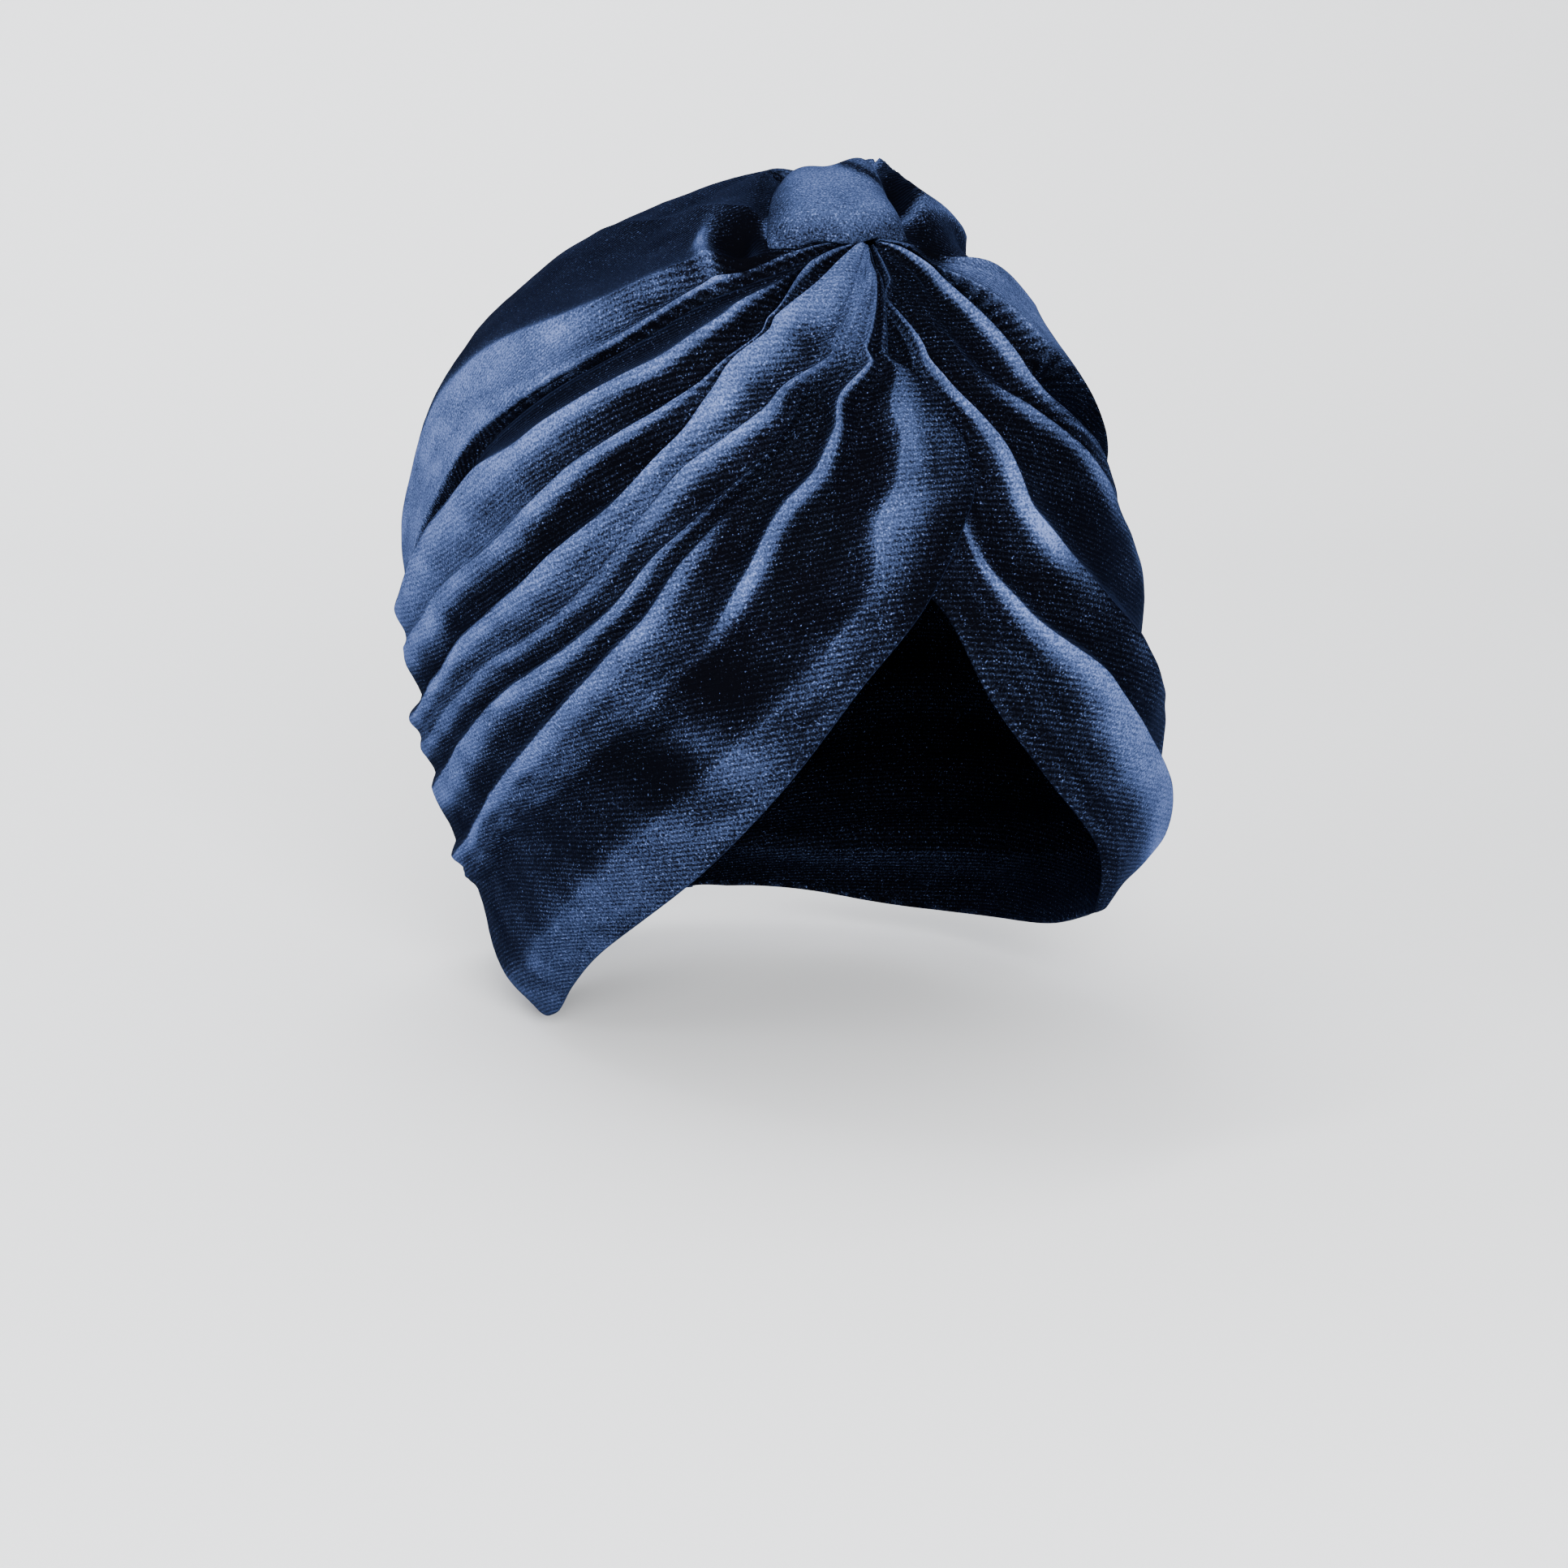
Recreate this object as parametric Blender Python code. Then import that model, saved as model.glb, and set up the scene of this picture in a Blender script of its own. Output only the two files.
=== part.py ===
# Turban headwrap of stretch velvet, kept in the shape it has when worn
# Metres, +Z up, front of the cap toward -Y, the wearer's left toward +X.
# The origin is the seat under the crown, where the top of a head bears.

import math

import bmesh
import bpy
import numpy as np

COLLECTION = "turban headwrap"

# Driving dimensions, in metres
CROWN_RADIUS = 0.108
WALL = 0.0018
SEAM_GAP = 0.0005
LAP_LIFT = 0.0025
FOLD_RISE = 0.0060
BAND_WIDTH = 0.031
BAND_BACK_WIDTH = 0.015
BAND_WALL = 0.0020
BAND_LIFT = 0.0071
BAND_DROOP = 0.0015

# The inner side of the cloth follows this share of the folds
INNER_FOLLOW = 0.8

# The lap of one wrap over the other starts and is complete at these arcs, in degrees
LAP_START = 5.0
LAP_FULL = 9.0

# Folds start flat under the knot and reach full height at this arc, in degrees
KNOT_ARC = 13.0
KNOT_SHARE = 0.45

# Squareness of a level section: 0 is an ellipse
SQUARENESS = 0.3

# The knot, as turn to the wearer's left and rise above level, in degrees, seen from the centre of the cap
KNOT_TURN = 5.0
KNOT_RISE = 63.0

# Middle of the band's front lip and of its back end, seen from above, as shares of CROWN_RADIUS
BAND_FRONT = np.array([-0.019, -0.452])
BAND_BACK = np.array([0.100, -0.060])
BAND_BOW = 0.030

# Shares of the band's length over which it rolls down at its front lip and at its back end
BAND_LIP = 0.15
BAND_TAIL = 0.30
BAND_CELLS = 12

# The band presses the folds below it, and this many degrees of arc beside it, down to this share
PRESSED_SHARE = 0.15
PRESSED_MARGIN = 1.5
PRESSED_FADE = 2.5

# Step of the run from which the direction of an edge is worked out, and rows of the run in a look-up
RUN_PROBE = 0.002
RUN_ROWS = 401

# Section of a pleat: how steeply it leaves its crease, how round its top is, how hollow the slope above is
STEEP_START = 0.6
ROUND_TOP = 2.2
SLOPE_HOLLOW = 1.6

CENTRE = np.array([0.0, 0.0, WALL - CROWN_RADIUS])

# Rest form of the cap: reach from the centre as a share of CROWN_RADIUS
# rise (degrees), wearer's right, wearer's left, front, back
FORM = [
    (-70, 1.040, 0.955, 0.850, 0.780),
    (-55, 0.955, 0.900, 0.935, 0.825),
    (-38, 0.835, 0.845, 1.010, 0.870),
    (-20, 0.765, 0.815, 1.055, 0.915),
    (0, 0.745, 0.738, 1.055, 0.940),
    (22, 0.775, 0.715, 1.030, 0.945),
    (45, 0.870, 0.780, 1.035, 0.935),
    (68, 0.900, 0.905, 1.035, 0.945),
    (90, 1.000, 1.000, 1.000, 1.000),
]

# Places on the cap are given by arc from the knot and bearing about the knot, both in degrees.
# Bearing 0 runs straight down the front, 90 to the wearer's right, 180 over the crown.

# Edges of the right wrap: share of its run, then arc and bearing of its hem and of its crown seam
RIGHT_EDGES = [
    (0.000, 1.5, 15.0, 1.5, 84.0),
    (0.060, 11.0, 16.0, 11.0, 80.0),
    (0.120, 20.5, 17.5, 20.5, 86.0),
    (0.145, 23.0, 10.0, 23.0, 87.0),
    (0.180, 27.5, 5.0, 27.5, 88.0),
    (0.210, 32.0, 0.5, 32.0, 90.0),
    (0.240, 36.0, 0.5, 36.0, 93.0),
    (0.275, 41.0, 4.0, 41.0, 97.0),
    (0.330, 49.0, 10.5, 49.0, 102.5),
    (0.400, 60.0, 19.5, 60.0, 109.0),
    (0.470, 72.0, 26.0, 70.0, 113.0),
    (0.540, 85.0, 32.5, 79.0, 117.0),
    (0.610, 98.0, 39.0, 87.0, 120.0),
    (0.670, 110.0, 44.5, 93.0, 124.0),
    (0.730, 122.0, 49.0, 99.0, 131.0),
    (0.790, 131.6, 52.4, 104.5, 142.0),
    (0.830, 138.0, 56.4, 107.6, 150.0),
    (0.865, 143.5, 62.5, 109.9, 157.0),
    (0.895, 149.0, 70.0, 111.7, 164.0),
    (0.925, 156.3, 83.0, 113.0, 170.5),
    (0.950, 163.4, 101.0, 113.5, 176.3),
    (0.970, 168.9, 129.4, 113.6, 180.0),
    (0.985, 171.1, 161.0, 113.7, 182.8),
    (1.000, 170.6, 198.4, 113.7, 185.5),
]

# Edges of the left wrap, in the same columns
LEFT_EDGES = [
    (0.000, 1.5, 12.0, 1.5, -80.0),
    (0.045, 8.0, 12.5, 8.0, -57.0),
    (0.075, 13.0, 25.0, 12.0, -46.0),
    (0.120, 20.5, 27.0, 20.5, -37.5),
    (0.145, 24.0, 23.0, 24.0, -40.0),
    (0.180, 30.0, 18.0, 27.5, -51.0),
    (0.210, 35.0, 17.0, 32.0, -62.0),
    (0.240, 40.0, 17.0, 36.0, -71.0),
    (0.275, 45.0, 14.0, 41.0, -78.0),
    (0.330, 51.0, 7.0, 49.0, -86.5),
    (0.400, 60.0, 1.5, 58.0, -93.0),
    (0.470, 70.0, -7.0, 68.0, -99.0),
    (0.540, 82.0, -17.5, 78.0, -105.0),
    (0.610, 94.0, -24.0, 86.0, -112.0),
    (0.670, 105.0, -34.0, 92.0, -121.0),
    (0.730, 118.0, -43.5, 98.0, -131.0),
    (0.790, 129.0, -54.5, 103.5, -142.0),
    (0.850, 141.0, -70.0, 108.0, -152.0),
    (0.895, 150.3, -83.6, 111.0, -159.0),
    (0.925, 157.1, -97.1, 112.7, -163.0),
    (0.950, 163.9, -114.7, 113.4, -167.0),
    (0.970, 168.1, -132.3, 113.6, -170.0),
    (1.000, 170.6, -161.6, 113.7, -174.5),
]

# Arcs at which the folds are given
FOLD_ARCS = (10, 20, 30, 40, 50, 60, 80, 100)

# Folds of the right wrap, from the hem up to the crown seam: bearing at each of FOLD_ARCS
RIGHT_FOLDS = [
    ("flap swell", 17, 19, 14, 17, 20, 29, 40, 51),
    ("flap hollow", 19, 22, 23, 27, 32, 38, 50, 65),
    ("pleat 6", 22, 27, 30, 34, 38, 46, 58, 70),
    ("crease 5", 26, 31, 34, 39, 45, 52, 63, 75),
    ("pleat 5", 29, 33, 36, 42, 48, 55, 67, 79),
    ("crease 4", 32, 35, 38, 45, 51, 58, 70, 83),
    ("front leaf", 36, 40, 43, 50, 55, 62, 74, 87),
    ("leaf crease", 40, 45, 48, 54, 59, 66, 78, 91),
    ("pleat 4", 45, 50, 53, 59, 64, 70, 81, 94),
    ("crease 3", 49, 54, 59, 65, 70, 74, 84, 97),
    ("pleat 3", 52, 58, 62, 69, 76, 82, 92, 103),
    ("crease 2", 60, 68, 72, 76, 81, 87, 97, 108),
    ("pleat 2", 68, 73, 77, 85, 92, 98, 107, 115),
]

# Height at each of FOLD_ARCS and at the back seam, as a share of FOLD_RISE
RIGHT_HEIGHTS = [
    ("hem", 0.00, 0.00, 0.00, 0.00, 0.00, 0.00, 0.00, 0.00, 0.00),
    ("flap swell", 0.05, 0.10, 0.35, 0.35, 0.35, 0.30, 0.30, 0.30, 0.20),
    ("flap hollow", 0.00, 0.05, -0.10, -0.15, -0.20, -0.30, -0.30, -0.25, 0.00),
    ("pleat 6", 0.15, 0.50, 0.65, 0.70, 0.55, 0.55, 0.60, 0.60, 0.25),
    ("crease 5", 0.10, 0.20, 0.30, 0.20, -0.15, -0.20, -0.25, -0.20, 0.00),
    ("pleat 5", 0.10, 0.10, 0.20, 0.25, 0.40, 0.50, 0.55, 0.55, 0.20),
    ("crease 4", 0.00, -0.20, -0.30, -0.30, -0.25, -0.25, -0.30, -0.25, 0.00),
    ("front leaf", 0.25, 0.55, 0.70, 0.70, 0.55, 0.50, 0.55, 0.55, 0.20),
    ("leaf crease", 0.30, 0.35, 0.10, 0.00, 0.25, 0.62, 0.68, 0.65, 0.25),
    ("pleat 4", 0.35, 0.70, 0.80, 0.80, 0.80, 0.78, 0.75, 0.70, 0.30),
    ("crease 3", -0.10, -0.10, -0.25, -0.40, -0.40, -0.35, -0.30, -0.25, 0.00),
    ("pleat 3", 0.20, 0.45, 0.65, 0.70, 0.78, 0.78, 0.70, 0.65, 0.25),
    ("crease 2", -0.20, -0.25, -0.30, -0.35, -0.30, -0.20, -0.12, -0.10, 0.00),
    ("pleat 2", 0.25, 0.45, 0.55, 0.65, 0.75, 0.80, 0.80, 0.75, 0.30),
    ("seam", -0.30, -0.40, -0.40, -0.40, -0.40, -0.40, -0.40, -0.35, -0.10),
]

# How far the right wrap lies on top of the left one: share of LAP_LIFT at each of FOLD_ARCS
RIGHT_LAP = [
    ("hem", 1.0, 1.0, 1.0, 1.0, 1.0, 0.1, 0.0, 0.0),
    ("flap swell", 1.0, 1.0, 1.0, 1.0, 0.6, 0.0, 0.0, 0.0),
    ("flap hollow", 1.0, 1.0, 1.0, 0.5, 0.1, 0.0, 0.0, 0.0),
    ("pleat 6", 1.0, 1.0, 0.6, 0.1, 0.0, 0.0, 0.0, 0.0),
    ("crease 5", 1.0, 0.8, 0.3, 0.0, 0.0, 0.0, 0.0, 0.0),
    ("pleat 5", 0.9, 0.6, 0.1, 0.0, 0.0, 0.0, 0.0, 0.0),
    ("crease 4", 0.7, 0.4, 0.0, 0.0, 0.0, 0.0, 0.0, 0.0),
    ("front leaf", 0.5, 0.2, 0.0, 0.0, 0.0, 0.0, 0.0, 0.0),
    ("leaf crease", 0.3, 0.1, 0.0, 0.0, 0.0, 0.0, 0.0, 0.0),
    ("pleat 4", 0.1, 0.0, 0.0, 0.0, 0.0, 0.0, 0.0, 0.0),
]

# Folds of the left wrap, from the tucked edge and hem up to the crown seam
LEFT_FOLDS = [
    ("lap line", 20, 16, 1, -1, 0, -4, -20, -36),
    ("brow pleat", 13, 8, -4, -4, -6, -14, -33, -52),
    ("crease c", 6, 2, -8, -9, -13, -21, -40, -59),
    ("temple pleat", -2, -3, -12, -13, -22, -35, -54, -70),
    ("crease b", -18, -14, -24, -30, -34, -46, -62, -78),
    ("upper pleat", -24, -20, -30, -38, -44, -54, -70, -86),
    ("crease a", -28, -27, -34, -42, -50, -60, -76, -92),
    ("roll", -38, -33, -42, -52, -62, -72, -88, -104),
]

# Heights of the left wrap and, further down, of the crown have the same columns
LEFT_HEIGHTS = [
    ("tucked edge", -0.15, -0.15, -0.15, -0.15, -0.05, 0.00, 0.00, 0.00, 0.00),
    ("lap line", -0.10, -0.10, -0.10, -0.10, 0.00, 0.00, 0.00, 0.00, 0.00),
    ("brow pleat", 0.00, 0.00, -0.05, 0.05, 0.40, 0.70, 0.95, 0.80, 0.25),
    ("crease c", 0.00, 0.00, -0.10, 0.00, 0.05, -0.10, -0.20, -0.20, 0.00),
    ("temple pleat", 0.30, 0.50, 0.50, 0.55, 0.60, 0.70, 0.70, 0.60, 0.25),
    ("crease b", -0.20, -0.30, -0.40, -0.40, -0.40, -0.30, -0.20, -0.20, 0.00),
    ("upper pleat", 0.15, 0.30, 0.50, 0.60, 0.70, 0.70, 0.60, 0.55, 0.20),
    ("crease a", -0.10, -0.10, -0.20, -0.25, -0.25, -0.20, -0.20, -0.15, 0.00),
    ("roll", 0.30, 0.50, 0.65, 0.75, 0.75, 0.70, 0.65, 0.60, 0.25),
    ("seam", -0.30, -0.40, -0.40, -0.40, -0.40, -0.40, -0.40, -0.35, -0.10),
]

# Folds of the crown, from the right seam over the back to the left seam
CROWN_FOLDS = [
    ("big roll", 92, 95, 106, 116, 123, 127, 136, 148),
    ("roll hollow", 110, 122, 132, 138, 143, 146, 150, 157),
    ("top pleat", 130, 142, 150, 154, 157, 158, 160, 164),
    ("top dip", 152, 160, 165, 168, 169, 170, 171, 173),
    ("middle pleat", 175, 180, 183, 184, 184, 183, 181, 180),
    ("middle dip", 192, 196, 198, 198, 197, 195, 190, 186),
    ("puff 1", 205, 208, 209, 209, 208, 205, 198, 192),
    ("puff crease 1", 215, 221, 223, 222, 220, 216, 206, 198),
    ("puff 2", 240, 244, 243, 238, 234, 229, 216, 205),
    ("puff crease 2", 276, 264, 257, 250, 245, 239, 225, 211),
    ("puff 3", 290, 292, 278, 266, 258, 250, 236, 217),
]

CROWN_HEIGHTS = [
    ("right seam", -0.30, -0.30, -0.30, -0.30, -0.30, -0.30, -0.30, -0.25, -0.10),
    ("big roll", 0.50, 0.80, 1.00, 1.10, 1.10, 1.00, 0.80, 0.60, 0.25),
    ("roll hollow", -0.60, -0.10, 0.30, 0.50, 0.50, 0.40, 0.20, 0.10, 0.00),
    ("top pleat", 0.40, 0.70, 0.90, 0.90, 0.80, 0.65, 0.45, 0.30, 0.15),
    ("top dip", 0.20, 0.40, 0.60, 0.65, 0.60, 0.45, 0.20, 0.05, 0.00),
    ("middle pleat", 0.30, 0.60, 0.75, 0.80, 0.70, 0.60, 0.40, 0.25, 0.15),
    ("middle dip", 0.00, 0.15, 0.25, 0.30, 0.30, 0.20, 0.10, 0.00, 0.00),
    ("puff 1", 1.50, 2.20, 2.30, 1.60, 0.90, 0.60, 0.35, 0.20, 0.10),
    ("puff crease 1", 0.00, 0.00, -0.10, -0.10, 0.00, 0.00, 0.00, 0.00, 0.00),
    ("puff 2", 0.80, 1.20, 1.20, 0.90, 0.70, 0.50, 0.40, 0.30, 0.10),
    ("puff crease 2", -0.30, -0.30, -0.30, -0.20, -0.10, 0.00, 0.00, 0.00, 0.00),
    ("puff 3", 0.80, 1.20, 1.20, 1.00, 0.90, 0.70, 0.45, 0.35, 0.10),
    ("left seam", -0.30, -0.40, -0.40, -0.40, -0.40, -0.40, -0.40, -0.35, -0.10),
]

# Mesh columns between one fold line and the next: on the steep side below a pleat, on the slope above it
STEEP_STOPS = (0.0, 0.20, 0.55)
SLOPE_STOPS = (0.0, 0.50)
RUN_CELLS = 30
CROWN_CELLS = 28

# Edges of the mesh that turn more than this many degrees are drawn sharp
SHARP_TURN = 60.0

VELVET_COLOUR = (0.030, 0.045, 0.150, 1.0)


def smooth_rows(at, places, values):
    """Value at each place between table rows, with slopes that never overshoot a row."""
    places = np.asarray(places, float)
    values = np.asarray(values, float)
    steps = np.diff(places)
    rises = np.diff(values) / steps
    slopes = np.zeros(len(places))
    slopes[0] = rises[0]
    slopes[-1] = rises[-1]
    same_way = rises[1:] * rises[:-1] > 0
    mean = 2.0 * rises[1:] * rises[:-1] / np.where(same_way, rises[1:] + rises[:-1], 1.0)
    slopes[1:-1] = np.where(same_way, mean, 0.0)
    at = np.clip(at, places[0], places[-1])
    row = np.clip(np.searchsorted(places, at) - 1, 0, len(steps) - 1)
    step = steps[row]
    t = (at - places[row]) / step
    keep = (1.0 + 2.0 * t) * (1.0 - t) ** 2
    lead = t * (1.0 - t) ** 2 * step
    trail = t * t * (t - 1.0) * step
    return keep * values[row] + lead * slopes[row] + (1.0 - keep) * values[row + 1] + trail * slopes[row + 1]


def column(table, number):
    return [row[number] for row in table]


def knot_frame():
    """Unit vectors at the knot: outward, down the front, and toward the wearer's right."""
    turn = math.radians(KNOT_TURN)
    rise = math.radians(KNOT_RISE)
    out = np.array([math.sin(turn) * math.cos(rise), -math.cos(turn) * math.cos(rise), math.sin(rise)])
    down = out * out[2] - np.array([0.0, 0.0, 1.0])
    down /= np.linalg.norm(down)
    return out, down, np.cross(down, out)


KNOT_OUT, KNOT_DOWN, KNOT_RIGHT = knot_frame()


def direction(arc, bearing):
    """Unit vectors from the centre for places given by arc and bearing in degrees."""
    arc = np.radians(arc)[..., None]
    bearing = np.radians(bearing)[..., None]
    aside = np.cos(bearing) * KNOT_DOWN + np.sin(bearing) * KNOT_RIGHT
    return np.cos(arc) * KNOT_OUT + np.sin(arc) * aside


def form_reach(out):
    """Reach of the rest form along unit vectors from the centre."""
    rise = np.degrees(np.arcsin(np.clip(out[..., 2], -1.0, 1.0)))
    level = np.hypot(out[..., 0], out[..., 1])
    flat = np.maximum(level, 1e-9)
    sideways = out[..., 0] / flat
    forward = -out[..., 1] / flat
    rises = column(FORM, 0)
    reach = [smooth_rows(rise, rises, column(FORM, k)) for k in (1, 2, 3, 4)]
    side = np.where(sideways < 0.0, reach[0], reach[1])
    ahead = np.where(forward > 0.0, reach[2], reach[3])
    power = 2.0 + SQUARENESS * level
    total = np.abs(forward / ahead) ** power + np.abs(sideways / side) ** power
    return CROWN_RADIUS * total ** (-1.0 / power)


def edge_lines(table, run):
    """Arc and bearing of the low and the high edge at each share of the run."""
    runs = column(table, 0)
    return [smooth_rows(run, runs, column(table, k)) for k in (1, 2, 3, 4)]


def band_place(out):
    """Share along the band from front to back, and offset to the left as a share of its half width."""
    axis = BAND_BACK - BAND_FRONT
    offset = out[..., :2] - BAND_FRONT
    along = offset[..., 1] / axis[1]
    return along, (offset[..., 0] - along * axis[0]) / band_half_width(along)


def band_half_width(along):
    """Half width of the band as a share of CROWN_RADIUS."""
    back = np.clip(along, 0.0, 1.0) ** 1.5
    width = BAND_WIDTH + (BAND_BACK_WIDTH - BAND_WIDTH) * back
    return 0.5 * width / CROWN_RADIUS


def pressed(out):
    """Share of their height that folds keep at unit vectors from the centre."""
    along, aside = band_place(out)
    fade = math.radians(PRESSED_FADE)
    past_end = np.maximum(along - 1.0, -along) * np.linalg.norm(BAND_BACK - BAND_FRONT)
    past_side = (np.abs(aside) - 1.0) * band_half_width(along)
    past = np.maximum(past_end, past_side) - math.radians(PRESSED_MARGIN)
    clear = np.clip(past / fade, 0.0, 1.0)
    clear = np.where(out[..., 2] > 0.0, clear, 1.0)
    return PRESSED_SHARE + (1.0 - PRESSED_SHARE) * clear * clear * (3.0 - 2.0 * clear)


def edge_normal(line, run):
    """Change of arc and bearing for one degree square to an edge, toward greater bearings."""
    before_arc, before_bearing = line(np.clip(run - RUN_PROBE, 0.0, 1.0))
    after_arc, after_bearing = line(np.clip(run + RUN_PROBE, 0.0, 1.0))
    shrink = np.sin(np.radians(line(run)[0]))
    ahead = after_arc - before_arc
    aside = (after_bearing - before_bearing) * shrink
    length = np.hypot(ahead, aside)
    return -aside / length, ahead / length / shrink


class Panel:
    """A length of pleated cloth between two edges, as a function from a flat sheet to the cap."""

    def __init__(self, low, high, folds, heights, lap, last_run, run_limit):
        self.low = low
        self.high = high
        self.folds = folds
        self.heights = heights
        self.lap = lap
        self.last_run = last_run
        self.run_limit = run_limit
        self.lines = len(folds) + 2

    def edges(self, run):
        """Arc and bearing of both edges, each drawn in by half the seam gap."""
        low_arc, low_bearing = self.low(run)
        high_arc, high_bearing = self.high(run)
        half_gap = math.degrees(0.5 * SEAM_GAP / CROWN_RADIUS)
        inward = half_gap * np.sign(high_bearing - low_bearing)
        arc_step, bearing_step = edge_normal(self.low, run)
        low_arc, low_bearing = low_arc + inward * arc_step, low_bearing + inward * bearing_step
        arc_step, bearing_step = edge_normal(self.high, run)
        high_arc, high_bearing = high_arc - inward * arc_step, high_bearing - inward * bearing_step
        return low_arc, low_bearing, high_arc, high_bearing

    def fold_shares(self, run):
        """Share of the way from the low to the high edge for every fold line at each run."""
        probe = np.linspace(0.0, 1.0, RUN_ROWS)
        low_arc, low_bearing, high_arc, high_bearing = self.edges(probe)
        arcs = 0.5 * (low_arc + high_arc)
        runs = np.interp(FOLD_ARCS, arcs, probe)
        low = np.interp(runs, probe, low_bearing)
        high = np.interp(runs, probe, high_bearing)
        shares = [np.zeros_like(run)]
        for fold in self.folds:
            share = (np.array(fold[1:]) - low) / (high - low)
            shares.append(smooth_rows(run, runs, share))
        shares.append(np.ones_like(run))
        return np.array(shares), runs

    def line_values(self, table, run, runs):
        """Table values of every fold line at each run, zero for lines that the table leaves out."""
        values = np.zeros((self.lines, len(run)))
        for number, row in enumerate(table):
            places = list(runs)
            if len(row) - 1 > len(places):
                places = places + [1.0]
            values[number] = smooth_rows(run, places, row[1:])
        return values

    def place(self, run, across):
        """Directions, fold height and lap height; across counts fold lines from the low edge."""
        run = np.minimum(self.last_run * run, self.run_limit)
        shares, runs = self.fold_shares(run)
        heights = self.line_values(self.heights, run, runs)
        laps = self.line_values(self.lap, run, runs)
        below = np.clip(np.floor(across).astype(int), 0, self.lines - 2)
        t = across - below
        each = np.arange(len(run))
        share = shares[below, each] * (1.0 - t) + shares[below + 1, each] * t
        steep = below % 2 == 0
        rising = (1.0 - (1.0 - t) ** ROUND_TOP) ** STEEP_START
        falling = t ** SLOPE_HOLLOW
        mix = np.where(steep, rising, falling)
        height = heights[below, each] * (1.0 - mix) + heights[below + 1, each] * mix
        lap = laps[below, each] * (1.0 - t) + laps[below + 1, each] * t
        low_arc, low_bearing, high_arc, high_bearing = self.edges(run)
        arc = low_arc + (high_arc - low_arc) * share
        bearing = low_bearing + (high_bearing - low_bearing) * share
        ramp = np.clip(arc / KNOT_ARC, 0.0, 1.0)
        ramp = KNOT_SHARE + (1.0 - KNOT_SHARE) * ramp * ramp * (3.0 - 2.0 * ramp)
        over = np.clip((arc - LAP_START) / (LAP_FULL - LAP_START), 0.0, 1.0)
        out = direction(arc, bearing)
        return out, FOLD_RISE * height * ramp * pressed(out), LAP_LIFT * lap * over

    def outer(self, run, across):
        out, height, lap = self.place(run, across)
        return CENTRE + out * (form_reach(out) + lap + height)[:, None]

    def inner(self, run, across):
        out, height, lap = self.place(run, across)
        return CENTRE + out * (form_reach(out) + lap + INNER_FOLLOW * height - WALL)[:, None]


def right_hem(run):
    return edge_lines(RIGHT_EDGES, run)[:2]


def right_seam(run):
    return edge_lines(RIGHT_EDGES, run)[2:]


def left_hem(run):
    return edge_lines(LEFT_EDGES, run)[:2]


def left_seam(run):
    return edge_lines(LEFT_EDGES, run)[2:]


def left_seam_from_right(run):
    """The left seam with its bearing counted on past 180, as the crown reaches it."""
    arc, bearing = left_seam(run)
    return arc, bearing + 360.0


def column_places(lines):
    """Places of the mesh columns, counted in fold lines from the low edge."""
    places = []
    for line in range(lines - 1):
        stops = STEEP_STOPS if line % 2 == 0 else SLOPE_STOPS
        places += [line + stop for stop in stops]
    return np.array(places + [lines - 1.0])


def velvet(name):
    material = bpy.data.materials.new(name)
    material.use_nodes = True
    shader = material.node_tree.nodes["Principled BSDF"]
    shader.inputs["Base Color"].default_value = VELVET_COLOUR
    shader.inputs["Roughness"].default_value = 0.8
    shader.inputs["Metallic"].default_value = 0.0
    return material


def cloth_object(name, along_cells, across_cells, outer, inner):
    """A sheet of square cells bent by two functions, one for each side of the cloth."""
    sheet = bmesh.new()
    bmesh.ops.create_grid(sheet, x_segments=along_cells, y_segments=across_cells, size=0.5)
    skin = bmesh.ops.extrude_face_region(sheet, geom=sheet.faces[:])
    for item in skin["geom"]:
        if isinstance(item, bmesh.types.BMVert):
            item.co.z = 1.0
    flat = np.array([vert.co for vert in sheet.verts])
    run = flat[:, 0] + 0.5
    across = flat[:, 1] + 0.5
    points = np.where(flat[:, 2:] > 0.5, inner(run, across), outer(run, across))
    for vert, point in zip(sheet.verts, points):
        vert.co = point
    bmesh.ops.recalc_face_normals(sheet, faces=sheet.faces[:])
    if sheet.calc_volume(signed=True) < 0.0:
        bmesh.ops.reverse_faces(sheet, faces=sheet.faces[:])
    mesh = bpy.data.meshes.new(name)
    sheet.to_mesh(mesh)
    sheet.free()
    mesh.materials.append(velvet(name + "_velvet"))
    mesh.shade_smooth()
    mesh.set_sharp_from_angle(angle=math.radians(SHARP_TURN))
    item = bpy.data.objects.new(name, mesh)
    bpy.data.collections[COLLECTION].objects.link(item)
    return item


def panel_object(name, panel, along_cells):
    """A panel as a closed sheet of cloth with a mesh column on every fold line."""
    places = column_places(panel.lines)
    cells = len(places) - 1

    def at(side):
        def bent(run, across):
            return side(run, np.interp(across * cells, np.arange(cells + 1), places))
        return bent

    return cloth_object(name, along_cells, cells, at(panel.outer), at(panel.inner))


def band_points(along, across, drop):
    """Points of the knot band, which lies over the gathered folds and rolls down at its rim."""
    aside = 2.0 * across - 1.0
    plan = BAND_FRONT + along[:, None] * (BAND_BACK - BAND_FRONT)
    plan[:, 0] += aside * band_half_width(along)
    plan[:, 1] -= BAND_BOW * (1.0 - aside * aside) * (1.0 - along)
    rise = np.sqrt(1.0 - plan[:, 0] ** 2 - plan[:, 1] ** 2)
    out = np.column_stack([plan, rise])
    rim = np.abs(aside) ** 4 + np.clip(1.0 - along / BAND_LIP, 0.0, 1.0) ** 2
    rim += np.clip(1.0 - (1.0 - along) / BAND_TAIL, 0.0, 1.0) ** 2
    return CENTRE + out * (form_reach(out) + BAND_LIFT - BAND_DROOP * rim - drop)[:, None]


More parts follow.
